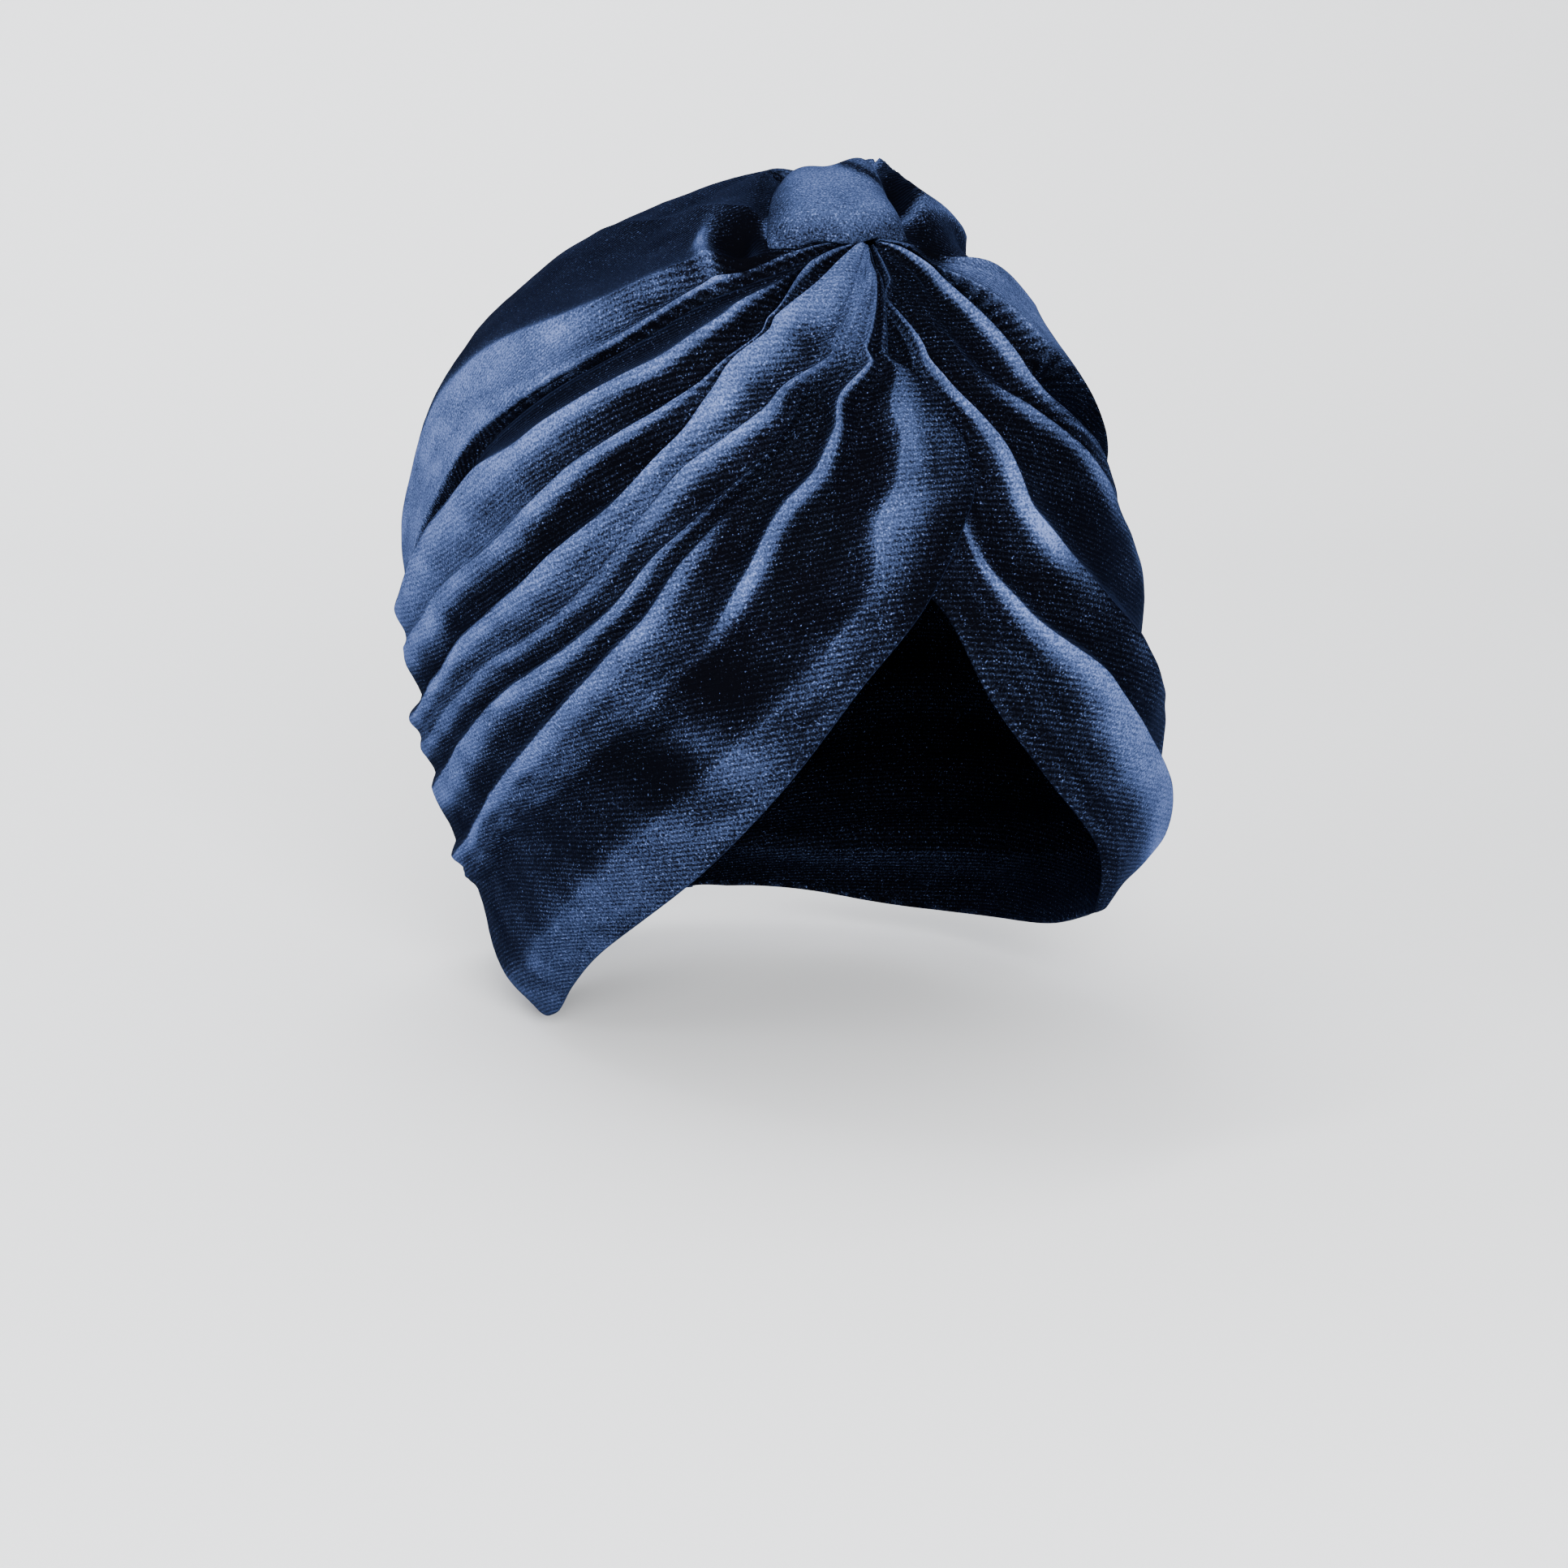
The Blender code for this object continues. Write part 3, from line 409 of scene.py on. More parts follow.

# Share of the slope below a crest that keeps painted shade, at each of FOLD_ARCS, where it is not DARK_SHARE
DARK_SHARE = 0.30
DARK_SLOPES = {
    "flap swell": (0.00, 0.00, 0.00, 0.05, 0.20, 0.30, 0.30, 0.30),
    "short ridge": (0.50, 0.50, 0.58, 0.52, 0.50, 0.50, 0.40, 0.30),
    "pleat 6": (0.00, 0.00, 0.60, 0.60, 0.50, 0.40, 0.30, 0.20),
    "pleat 5": (0.00, 0.00, 0.60, 0.50, 0.40, 0.30, 0.30, 0.20),
    "front leaf": (0.00, 0.00, 0.35, 0.35, 0.30, 0.30, 0.20, 0.20),
    "pleat 4": (0.00, 0.00, 0.10, 0.20, 0.30, 0.30, 0.20, 0.20),
    "pleat 3": (0.50, 0.70, 0.70, 0.60, 0.50, 0.40, 0.30, 0.20),
    "pleat 2": (0.70, 0.65, 0.55, 0.45, 0.35, 0.25, 0.15, 0.10),
    "brow pleat": (0.30, 0.30, 0.30, 0.20, 0.05, 0.00, 0.00, 0.00),
    "temple ridge": (0.30, 0.30, 0.20, 0.30, 0.40, 0.30, 0.30, 0.30),
    "upper ridge": (0.60, 0.60, 0.60, 0.70, 0.60, 0.50, 0.40, 0.30),
    "roll": (0.40, 0.40, 0.40, 0.40, 0.40, 0.30, 0.30, 0.30),
    "seam ridge": (0.50, 0.55, 0.60, 0.60, 0.60, 0.60, 0.50, 0.40),
    "big roll": (0.00, 0.00, 0.00, 0.00, 0.00, 0.00, 0.00, 0.00),
    "puff 1": (0.00, 0.00, 0.00, 0.00, 0.10, 0.20, 0.20, 0.20),
    "puff 2": (0.20, 0.20, 0.10, 0.10, 0.10, 0.20, 0.20, 0.20),
    "puff 3": (0.10, 0.10, 0.10, 0.20, 0.20, 0.20, 0.20, 0.20),
}

# Local dents and stripes: arc and bearing of the middle, half sizes in degrees, change of height and of painted
# shading:
# painted shade in pockets, hollows and dark stripes, painted highlights on rims and light stripes
RIGHT_PATCHES = [
    ("flap tip shade", 36, 9, 7, 4, 0.00, -0.25),
    ("flap edge shade", 50, 12, 7, 3, 0.00, -0.20),
    ("first dark stripe", 63, 37, 3.6, 6, -0.08, -0.28),
    ("light stripe", 69.5, 37, 3.2, 7, 0.08, 0.28),
    ("second dark stripe", 76, 43, 3.6, 10, -0.08, -0.25),
    ("neck hollow", 20.5, 45, 3.0, 4, -0.15, -0.35),
]

LEFT_PATCHES = [
    ("temple patch", 43, -12.5, 4, 4, 0.10, 0.35),
    ("temple shade", 54, -25, 6, 5, 0.00, -0.25),
    ("roll shade", 27, -39, 7, 7, 0.00, -0.50),
]

CROWN_PATCHES = [
    ("left pocket", 14.8, 104, 2.8, 15, -0.90, -1.20),
    ("pocket outer rim", 19.4, 110, 1.1, 18, 0.45, 0.90),
    ("pocket inner rim", 11.6, 118, 1.0, 15, 0.40, 0.90),
    ("back pocket", 14, 223, 7, 8, -0.20, -1.00),
    ("back crescent", 28, 228, 5, 3.5, 0.00, -0.60),
    ("right pocket", 7.3, 298, 2.2, 26, -0.40, -1.00),
]


def smooth_rows(at, places, values):
    """Value at each place between table rows, with slopes that never overshoot a row."""
    places = np.asarray(places, float)
    values = np.asarray(values, float)
    steps = np.diff(places)
    rises = np.diff(values) / steps
    slopes = np.zeros(len(places))
    slopes[0] = rises[0]
    slopes[-1] = rises[-1]
    same_way = rises[1:] * rises[:-1] > 0
    mean = 2.0 * rises[1:] * rises[:-1] / np.where(same_way, rises[1:] + rises[:-1], 1.0)
    slopes[1:-1] = np.where(same_way, mean, 0.0)
    at = np.clip(at, places[0], places[-1])
    row = np.clip(np.searchsorted(places, at) - 1, 0, len(steps) - 1)
    step = steps[row]
    t = (at - places[row]) / step
    keep = (1.0 + 2.0 * t) * (1.0 - t) ** 2
    lead = t * (1.0 - t) ** 2 * step
    trail = t * t * (t - 1.0) * step
    level = keep * values[row] + (1.0 - keep) * values[row + 1]
    return level + lead * slopes[row] + trail * slopes[row + 1]


def column(table, number):
    """One column of a table, as a list."""
    return [row[number] for row in table]


def eased(share):
    """A share from 0 to 1 that starts and ends gently."""
    return share * share * (3.0 - 2.0 * share)


def ripple(first, second, seed):
    """Smooth unevenness from about -1 to 1, with waves about one unit long in both directions."""
    waves = np.random.RandomState(seed)
    total = np.zeros_like(first)
    for _ in range(RIPPLE_WAVES):
        heading, phase, length = waves.uniform(0.0, 2.0 * math.pi, 3)
        count = 2.0 * math.pi / (0.7 + 0.15 * length)
        total += np.sin(count * (first * math.cos(heading) + second * math.sin(heading)) + phase)
    return total / math.sqrt(RIPPLE_WAVES)


def knot_frame():
    """Unit vectors at the knot: outward, down the front, and toward the wearer's right."""
    turn = math.radians(KNOT_TURN)
    rise = math.radians(KNOT_RISE)
    out = np.array([math.sin(turn) * math.cos(rise), -math.cos(turn) * math.cos(rise), math.sin(rise)])
    down = out * out[2] - np.array([0.0, 0.0, 1.0])
    down /= np.linalg.norm(down)
    return out, down, np.cross(down, out)


KNOT_OUT, KNOT_DOWN, KNOT_RIGHT = knot_frame()


def direction(arc, bearing):
    """Unit vectors from the centre for places given by arc and bearing in degrees."""
    arc = np.radians(arc)[..., None]
    bearing = np.radians(bearing)[..., None]
    aside = np.cos(bearing) * KNOT_DOWN + np.sin(bearing) * KNOT_RIGHT
    return np.cos(arc) * KNOT_OUT + np.sin(arc) * aside


def form_reach(out):
    """Reach of the rest form along unit vectors from the centre."""
    rise = np.degrees(np.arcsin(np.clip(out[..., 2], -1.0, 1.0)))
    level = np.hypot(out[..., 0], out[..., 1])
    flat = np.maximum(level, 1e-9)
    sideways = out[..., 0] / flat
    forward = -out[..., 1] / flat
    rises = column(FORM, 0)
    reach = [smooth_rows(rise, rises, column(FORM, k)) for k in (1, 2, 3, 4)]
    side = np.where(sideways < 0.0, reach[0], reach[1])
    ahead = np.where(forward > 0.0, reach[2], reach[3])
    power = 2.0 + SQUARENESS * level
    total = np.abs(forward / ahead) ** power + np.abs(sideways / side) ** power
    return CROWN_RADIUS * total ** (-1.0 / power)


def edge_lines(table, run):
    """Arc and bearing of the low and the high edge at each share of the run."""
    runs = column(table, 0)
    return [smooth_rows(run, runs, column(table, k)) for k in (1, 2, 3, 4)]


def band_place(out):
    """Share along the band from front to back, and offset to the left as a share of its half width."""
    axis = BAND_BACK - BAND_FRONT
    offset = out[..., :2] - BAND_FRONT
    along = offset[..., 1] / axis[1]
    return along, (offset[..., 0] - along * axis[0]) / band_half_width(along)


def band_half_width(along):
    """Half width of the band as a share of CROWN_RADIUS."""
    back = np.clip(along, 0.0, 1.0) ** 1.5
    width = BAND_WIDTH + (BAND_BACK_WIDTH - BAND_WIDTH) * back
    return 0.5 * width / CROWN_RADIUS


def ride(along, aside):
    """How far the band has risen over the puffs: 0 at its front and right side, 1 at its back left corner."""
    risen = np.clip((along - RIDE_FROM) / (RIDE_TO - RIDE_FROM), 0.0, 1.0)
    toward = np.clip((aside + RIDE_REACH) / (1.0 + RIDE_REACH), 0.0, 1.0)
    return eased(risen) * eased(toward)


def pressed(out):
    """Share of their height that folds keep at unit vectors from the centre."""
    along, aside = band_place(out)
    fade = math.radians(PRESSED_FADE)
    past_end = np.maximum(along - 1.0, -along) * np.linalg.norm(BAND_BACK - BAND_FRONT)
    past_side = (np.abs(aside) - 1.0) * band_half_width(along)
    past = np.maximum(past_end, past_side) - math.radians(PRESSED_MARGIN)
    clear = np.clip(past / fade, 0.0, 1.0)
    clear = np.where(out[..., 2] > 0.0, clear, 1.0)
    share = PRESSED_SHARE + RIDE_SHARE * ride(along, aside)
    return share + (1.0 - share) * eased(clear)


def edge_normal(line, run):
    """Change of arc and bearing for one degree square to an edge, toward greater bearings."""
    before_arc, before_bearing = line(np.clip(run - RUN_PROBE, 0.0, 1.0))
    after_arc, after_bearing = line(np.clip(run + RUN_PROBE, 0.0, 1.0))
    shrink = np.sin(np.radians(line(run)[0]))
    ahead = after_arc - before_arc
    aside = (after_bearing - before_bearing) * shrink
    length = np.hypot(ahead, aside)
    return -aside / length, ahead / length / shrink


class Panel:
    """A length of pleated cloth between two edges, as a function from a flat sheet to the cap."""

    def __init__(self, low, high, folds, heights, painted_shading, patches, lap, last_run, run_limit):
        self.low = low
        self.high = high
        self.folds = folds
        self.heights = heights
        self.painted_shading = painted_shading
        self.patches = patches
        self.lap = lap
        self.last_run = last_run
        self.run_limit = run_limit
        self.lines = len(folds) + 2
        default = (DARK_SHARE,) * len(FOLD_ARCS)
        names = ["low edge"] + [fold[0] for fold in folds] + ["high edge"]
        self.dark = [(name,) + DARK_SLOPES.get(name, default) for name in names]

    def edges(self, run):
        """Arc and bearing of both edges, each drawn in by half the seam gap."""
        low_arc, low_bearing = self.low(run)
        high_arc, high_bearing = self.high(run)
        half_gap = math.degrees(0.5 * SEAM_GAP / CROWN_RADIUS)
        inward = half_gap * np.sign(high_bearing - low_bearing)
        arc_step, bearing_step = edge_normal(self.low, run)
        low_arc, low_bearing = low_arc + inward * arc_step, low_bearing + inward * bearing_step
        arc_step, bearing_step = edge_normal(self.high, run)
        high_arc, high_bearing = high_arc - inward * arc_step, high_bearing - inward * bearing_step
        return low_arc, low_bearing, high_arc, high_bearing

    def fold_shares(self, run):
        """Share of the way from the low to the high edge for every fold line at each run."""
        probe = np.linspace(0.0, 1.0, RUN_ROWS)
        low_arc, low_bearing, high_arc, high_bearing = self.edges(probe)
        arcs = 0.5 * (low_arc + high_arc)
        runs = np.interp(FOLD_ARCS, arcs, probe)
        low = np.interp(runs, probe, low_bearing)
        high = np.interp(runs, probe, high_bearing)
        shares = [np.zeros_like(run)]
        for fold in self.folds:
            share = (np.array(fold[1:]) - low) / (high - low)
            shares.append(smooth_rows(run, runs, share))
        shares.append(np.ones_like(run))
        return np.array(shares), runs

    def line_values(self, table, run, runs):
        """Table values of every fold line at each run, zero for lines past the table's last row."""
        values = np.zeros((self.lines, len(run)))
        for number, row in enumerate(table):
            places = list(runs)
            if len(row) - 1 > len(places):
                places = places + [1.0]
            values[number] = smooth_rows(run, places, row[1:])
        return values

    def place(self, run, across):
        """Directions, reach of the rest form with its lap, fold height and painted light and shade; across counts
        fold lines.
        """
        run = np.minimum(self.last_run * run, self.run_limit)
        shares, runs = self.fold_shares(run)
        heights = self.line_values(self.heights, run, runs)
        shading_rows = self.line_values(self.painted_shading, run, runs)
        laps = self.line_values(self.lap, run, runs)
        below = np.clip(np.floor(across).astype(int), 0, self.lines - 2)
        t = across - below
        each = np.arange(len(run))
        share = shares[below, each] * (1.0 - t) + shares[below + 1, each] * t
        rising = below % 2 == 0
        slope = t ** SLOPE_HOLLOW
        drop = 1.0 - (1.0 - t) ** CREST_DROP
        back = np.interp(np.interp(run, runs, FOLD_ARCS), (ROUND_FROM, ROUND_TO), (0.0, 1.0))
        mix = np.where(rising, slope, drop) * (1.0 - back) + eased(t) * back
        height = heights[below, each] * (1.0 - mix) + heights[below + 1, each] * mix
        # Painted shading across a pleat: shade kept over the first share of a slope, light painted toward the
        # crest, shade painted past it
        dark = self.line_values(self.dark, run, runs)[below + 1, each]
        bright = np.clip((t - dark) / (LIGHT_SPAN * (1.0 - dark)), 0.0, 1.0)
        fade = 1.0 - (1.0 - t) ** SHADE_DROP
        mix = np.where(rising, eased(bright), fade)
        painted_shading = shading_rows[below, each] * (1.0 - mix) + shading_rows[below + 1, each] * mix
        lap = laps[below, each] * (1.0 - t) + laps[below + 1, each] * t
        low_arc, low_bearing, high_arc, high_bearing = self.edges(run)
        arc = low_arc + (high_arc - low_arc) * share
        rim = np.clip(4.0 * np.minimum(share, 1.0 - share), 0.0, 1.0)
        wander = WANDER[2] * rim * ripple(arc / WANDER[0], across / WANDER[1], WANDER_SEED)
        share = share + wander * (shares[below + 1, each] - shares[below, each])
        for size, width, amount in (WRINKLE, CRUMPLE):
            height = height + amount * rim * ripple(arc / size, across / width, HEIGHT_SEED)
        for size, width, amount in (PATCH, STREAK):
            painted_shading = painted_shading + amount * ripple(arc / size, across / width, SHADING_SEED)
        bearing = low_bearing + (high_bearing - low_bearing) * share
        # Patches add painted shade in pockets and dark stripes and painted highlights on rims
        for _, middle_arc, middle_bearing, half_arc, half_bearing, rise, shading_change in self.patches:
            radius = np.hypot((arc - middle_arc) / half_arc, (bearing - middle_bearing) / half_bearing)
            inside = np.exp(-radius ** 2)
            height = height + rise * inside
            painted_shading = painted_shading + shading_change * inside
        ramp = np.clip(arc / KNOT_ARC, 0.0, 1.0)
        ramp = KNOT_SHARE + (1.0 - KNOT_SHARE) * eased(ramp)
        over = np.clip((arc - LAP_START) / (LAP_FULL - LAP_START), 0.0, 1.0)
        out = direction(arc, bearing)
        reach = form_reach(out) + LAP_LIFT * lap * over
        end = np.clip((self.run_limit - run) / END_FADE, 0.0, 1.0)
        return out, reach, FOLD_RISE * height * ramp * pressed(out) * end ** 0.5, painted_shading


def right_hem(run):
    return edge_lines(RIGHT_EDGES, run)[:2]


def right_seam(run):
    return edge_lines(RIGHT_EDGES, run)[2:]


def left_hem(run):
    return edge_lines(LEFT_EDGES, run)[:2]


def left_seam(run):
    return edge_lines(LEFT_EDGES, run)[2:]


def left_seam_from_right(run):
    """The left seam with its bearing counted on past 180, as the crown reaches it."""
    arc, bearing = left_seam(run)
    return arc, bearing + 360.0


# Fine meshes: cells between one fold line and the next, and cells along the run
LINE_CELLS = {"right_wrap": 8, "left_wrap": 11, "crown": 9}
RUN_CELLS = {"right_wrap": 300, "left_wrap": 280, "crown": 260}

# Power that draws the columns closer together at the crests: 1 leaves them even
CREST_CROWDING = 1.5

# Shares of the run where the wraps end and where the crown ends, and the stretch over which its rows are spread
BACK_END = 1.0
CROWN_END = 0.930
CROWN_RUN = BACK_END * 28 / 30

RIGHT_WRAP = Panel(
    right_hem, right_seam, RIGHT_FOLDS, RIGHT_HEIGHTS, RIGHT_PAINTED_SHADING, RIGHT_PATCHES, RIGHT_LAP, BACK_END, BACK_END
)
LEFT_WRAP = Panel(
    left_hem, left_seam, LEFT_FOLDS, LEFT_HEIGHTS, LEFT_PAINTED_SHADING, LEFT_PATCHES, (), BACK_END, BACK_END
)
CROWN = Panel(
    right_seam, left_seam_from_right, CROWN_FOLDS, CROWN_HEIGHTS, CROWN_PAINTED_SHADING, CROWN_PATCHES, (), CROWN_RUN,
    CROWN_END
)

# Photo's viewing angle in degrees, distance in metres, and the point looked at, from the centre of the cap
VIEW_AZIMUTH = -22.0
VIEW_ELEVATION = 12.0
VIEW_DISTANCE = 1.0
VIEW_RIGHT = 0.00429
VIEW_UP = -0.03432
LENS_MM = 95.6
SENSOR_MM = 36.0


def view_axes():
    """Unit vectors of the photo's view: toward the camera, to its right, and up."""
    turn = math.radians(VIEW_AZIMUTH)
    rise = math.radians(VIEW_ELEVATION)
    back = np.array([math.sin(turn) * math.cos(rise), -math.cos(turn) * math.cos(rise), math.sin(rise)])
    right = np.array([math.cos(turn), math.sin(turn), 0.0])
    return back, right, np.cross(back, right)


# Ribs of the knit: pitch in metres, then their slope on the wraps in the middle of the photo's view, and how
# much that slope changes toward its right
RIB_PITCH = 0.00125
RIB_SLOPE = 0.22
RIGHT_RIB_BEND = -0.2
LEFT_RIB_BEND = -0.6

# Colour from full painted shade to full painted light
SHADING_COLOURS = [
    (0.00, (0.0012, 0.0013, 0.0022, 1.0)),
    (0.30, (0.0036, 0.0048, 0.0100, 1.0)),
    (0.60, (0.0210, 0.0310, 0.0710, 1.0)),
    (0.85, (0.0400, 0.0600, 0.1430, 1.0)),
    (1.15, (0.1050, 0.1460, 0.3200, 1.0)),
]

# How much patches, grain and ribs move the painted shading, how much of the ribs fades where it is painted light,
# the grain above which a painted glint is added and how strongly, and how much of the relief comes from the ribs
PATCHINESS = 0.20
GRAININESS = 1.20
RIBBING = 0.30
RIB_FADE = 0.20
GLINT_FROM = 0.66
PAINTED_GLINT = 4.0
RIB_RELIEF = 0.8

# Fineness of the patches and of the grain, then strength and depth in metres of the relief
PATCH_SCALE = 95.0
GRAIN_SCALE = 2300.0
RELIEF_STRENGTH = 0.5
RELIEF_DEPTH = 0.0002

# Scale of the wave texture that gives one band in a metre
WAVE_UNIT = math.pi / 10.0


def crown_ribs(points):
    """Distance across the crown's ribs and along them, in metres: they run from side to side over the top."""
    back, right, up = view_axes()
    offset = points - CENTRE
    side = np.arcsin(offset @ right / np.linalg.norm(offset, axis=1))
    return CROWN_RADIUS * np.arctan2(offset @ back, offset @ up), CROWN_RADIUS * side


def rib_places(points, slope, bend):
    """Distance across the wraps' ribs and along them for points on the rest form, in metres."""
    back, right, up = view_axes()
    offset = points - CENTRE
    length = np.linalg.norm(offset, axis=1)
    side = offset @ right / length
    rise = np.arcsin(np.clip(offset @ up / length, -1.0, 1.0))
    across = CROWN_RADIUS * (rise - slope * side - 0.5 * bend * side * side)
    along = CROWN_RADIUS * np.arctan2(offset @ right, offset @ back)
    return across, along


def right_ribs(points):
    """Distances across and along the ribs of the right wrap."""
    return rib_places(points, RIB_SLOPE, RIGHT_RIB_BEND)


def left_ribs(points):
    """Distances across and along the ribs of the left wrap."""
    return rib_places(points, RIB_SLOPE, LEFT_RIB_BEND)


# The wrong side of the cloth has this share of the right side's painted light and shade. Rims bulge by this share
# of half the wall.
INSIDE_SHADING = 0.3
RIM_ROUNDNESS = 0.8


def sheet_mesh(rows, columns, outer, inner):
    """Closed cloth from two grids of points, its four rims rounded by one ring between the sides."""
    vertices = np.concatenate([outer, inner])
    index = np.arange(rows * columns).reshape(rows, columns)
    faces = []
    a, b, c, d = index[:-1, :-1], index[1:, :-1], index[1:, 1:], index[:-1, 1:]
    quads = np.stack([a, b, c, d], axis=-1).reshape(-1, 4)
    faces.append(quads)
    faces.append(quads[:, ::-1] + rows * columns)
    rim = np.concatenate([index[0, :-1], index[:-1, -1], index[-1, :0:-1], index[:0:-1, 0]])
    middle = 0.5 * (vertices[rim] + vertices[rim + rows * columns])
    before = np.roll(rim, 1)
    tangent = vertices[np.roll(rim, -1)] - vertices[before]
    through = vertices[rim + rows * columns] - vertices[rim]
    outward = np.cross(tangent, through)
    outward /= np.maximum(np.linalg.norm(outward, axis=1), 1e-12)[:, None]
    inward = np.concatenate([index[1, :-1], index[:-1, -2], index[-2, :0:-1], index[:0:-1, 1]])
    toward_rim = vertices[rim] - vertices[inward]
    outward *= np.sign(np.sum(outward * toward_rim, axis=1))[:, None]
    bulge = 0.5 * np.linalg.norm(through, axis=1)[:, None]
    ring = middle + outward * bulge * RIM_ROUNDNESS
    start = 2 * rows * columns
    vertices = np.concatenate([vertices, ring])
    count = len(rim)
    ring_index = start + np.arange(count)
    after = np.roll(np.arange(count), -1)
    below = rim + rows * columns
    faces.append(np.column_stack([rim, ring_index, ring_index[after], rim[after]]))
    faces.append(np.column_stack([ring_index, below, below[after], ring_index[after]]))
    return vertices, np.concatenate(faces), rim


def crest_spacing(line):
    """Columns drawn closer together at the crests, which are the odd fold lines."""
    below = np.floor(line)
    t = line - below
    toward = np.where(below % 2 == 0, 1.0 - (1.0 - t) ** CREST_CROWDING, t ** CREST_CROWDING)
    return below + toward


def cloth_piece(name, grid, outer, inner, rib, painted_shading, material):
    """A closed piece of cloth with its ribs as UVs and its painted light and shade as a value at each point."""
    rows, columns = grid
    vertices, faces, rim = sheet_mesh(rows, columns, outer, inner)
    mesh = bpy.data.meshes.new(name)
    mesh.from_pydata(vertices.tolist(), [], faces.tolist())
    mesh.validate()
    work = bmesh.new()
    work.from_mesh(mesh)
    bmesh.ops.recalc_face_normals(work, faces=work.faces[:])
    if work.calc_volume(signed=True) < 0.0:
        bmesh.ops.reverse_faces(work, faces=work.faces[:])
    work.to_mesh(mesh)
    work.free()
    mesh.shade_smooth()
    across, along = rib
    across = np.concatenate([across, across, across[rim]])
    along = np.concatenate([along, along, along[rim]])
    layer = mesh.uv_layers.new(name="cloth")
    corner = np.zeros(len(mesh.loops), int)
    mesh.loops.foreach_get("vertex_index", corner)
    layer.data.foreach_set("uv", np.column_stack([along[corner], across[corner]]).astype(np.float32).ravel())
    # Painted light and shade of the folds, stored per point; the inner side keeps a weaker copy
    attribute = mesh.attributes.new("painted_shading", "FLOAT", "POINT")
    values = np.concatenate([painted_shading, INSIDE_SHADING * painted_shading, painted_shading[rim]])
    attribute.data.foreach_set("value", values.astype(np.float32))
    mesh.materials.append(material)
    piece = bpy.data.objects.new(name, mesh)
    bpy.context.scene.collection.objects.link(piece)
    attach(piece, "root")
    return piece


def panel_piece(name, panel, ribs, material):
    """A panel of fine pleated cloth, which stands for the plain solid of the same name."""
    rows = RUN_CELLS[name] + 1
    columns = LINE_CELLS[name] * (panel.lines - 1) + 1
    run = np.linspace(0.0, 1.0, rows)
    line = np.linspace(0.0, panel.lines - 1.0, columns)
    line = crest_spacing(line)
    run, line = [axis.ravel() for axis in np.meshgrid(run, line, indexing="ij")]
    out, reach, height, painted_shading = panel.place(run, line)
    outer = CENTRE + out * (reach + height)[:, None]
    inner = CENTRE + out * (reach + INNER_FOLLOW * height - WALL)[:, None]
    rib = ribs(CENTRE + out * reach[:, None])
    piece = cloth_piece(name + "_cloth", (rows, columns), outer, inner, rib, painted_shading, material)
    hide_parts(name)
    return piece


# The rim of the band rolls down and its middle is domed by these heights in metres. Its lip waves by a share of
# CROWN_RADIUS, with this many radians from its middle to a side, and this phase. Then rows and columns of points.
BAND_ROLL = 0.0036
BAND_DOME = 0.0004
LIP_WAVE = 0.006
LIP_WAVE_COUNT = 7.0
LIP_WAVE_PHASE = 0.8
BAND_GRID = (81, 61)


def band_points(along, across, drop):
    """Points of the knot band, which lies over the gathered folds and rolls down at its rim."""
    aside = 2.0 * across - 1.0
    plan = BAND_FRONT + along[:, None] * (BAND_BACK - BAND_FRONT)
    plan[:, 0] += aside * band_half_width(along)
    wave = LIP_WAVE * np.sin(LIP_WAVE_COUNT * aside + LIP_WAVE_PHASE)
    plan[:, 1] -= (BAND_BOW * (1.0 - aside * aside) + wave) * (1.0 - along)
    rise = np.sqrt(1.0 - plan[:, 0] ** 2 - plan[:, 1] ** 2)
    out = np.column_stack([plan, rise])
    rim = np.abs(aside) ** 5 + np.clip(1.0 - along / BAND_LIP, 0.0, 1.0) ** 2
    rim += np.clip(1.0 - (1.0 - along) / BAND_TAIL, 0.0, 1.0) ** 2
    dome = BAND_DOME * np.cos(0.5 * math.pi * aside) * np.sin(math.pi * np.clip(along, 0.0, 1.0))
    lift = BAND_LIFT + RIDE_LIFT * ride(along, aside) + dome - BAND_ROLL * np.minimum(rim, 1.2)
    return CENTRE + out * (form_reach(out) + lift - drop)[:, None]


def band_piece(material):
    """The smooth knot band, which stands for the plain solid of the same name."""
    rows, columns = BAND_GRID
    along, across = np.meshgrid(np.linspace(0, 1, rows), np.linspace(0, 1, columns), indexing="ij")
    along, across = along.ravel(), across.ravel()
    outer = band_points(along, across, 0.0)
    inner = band_points(along, across, BAND_WALL)
    rib = rib_places(outer, 0.0, 0.0)
    aside = 2.0 * across - 1.0
    edge = np.clip(np.abs(aside) ** 4 + np.clip(1.0 - along / BAND_LIP, 0.0, 1.0) ** 2, 0.0, 1.0)
    risen = ride(along, aside)
    tuck = np.exp(-((risen - TUCK_AT) / TUCK_WIDTH) ** 2)
    # Painted shade at the band's rim, where it rides over the puffs and in the crease of that rise
    painted_shading = BAND_PAINTED_LIGHT - BAND_EDGE_SHADE * edge - RISEN_SHADE * risen - TUCK_SHADE * tuck
    painted_shading += PATCH[2] * ripple(2.0 * along, 2.0 * across, BAND_SEED)
    piece = cloth_piece("knot_band_cloth", BAND_GRID, outer, inner, rib, painted_shading, material)
    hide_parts("knot_band")
    return piece


def math_node(tree, operation, *values):
    """Output of a maths node whose inputs are numbers or other nodes' outputs."""
    node = tree.nodes.new("ShaderNodeMath")
    node.operation = operation
    for socket, value in zip(node.inputs, values):
        if isinstance(value, bpy.types.NodeSocket):
            tree.links.new(value, socket)
        else:
            socket.default_value = value
    return node.outputs[0]


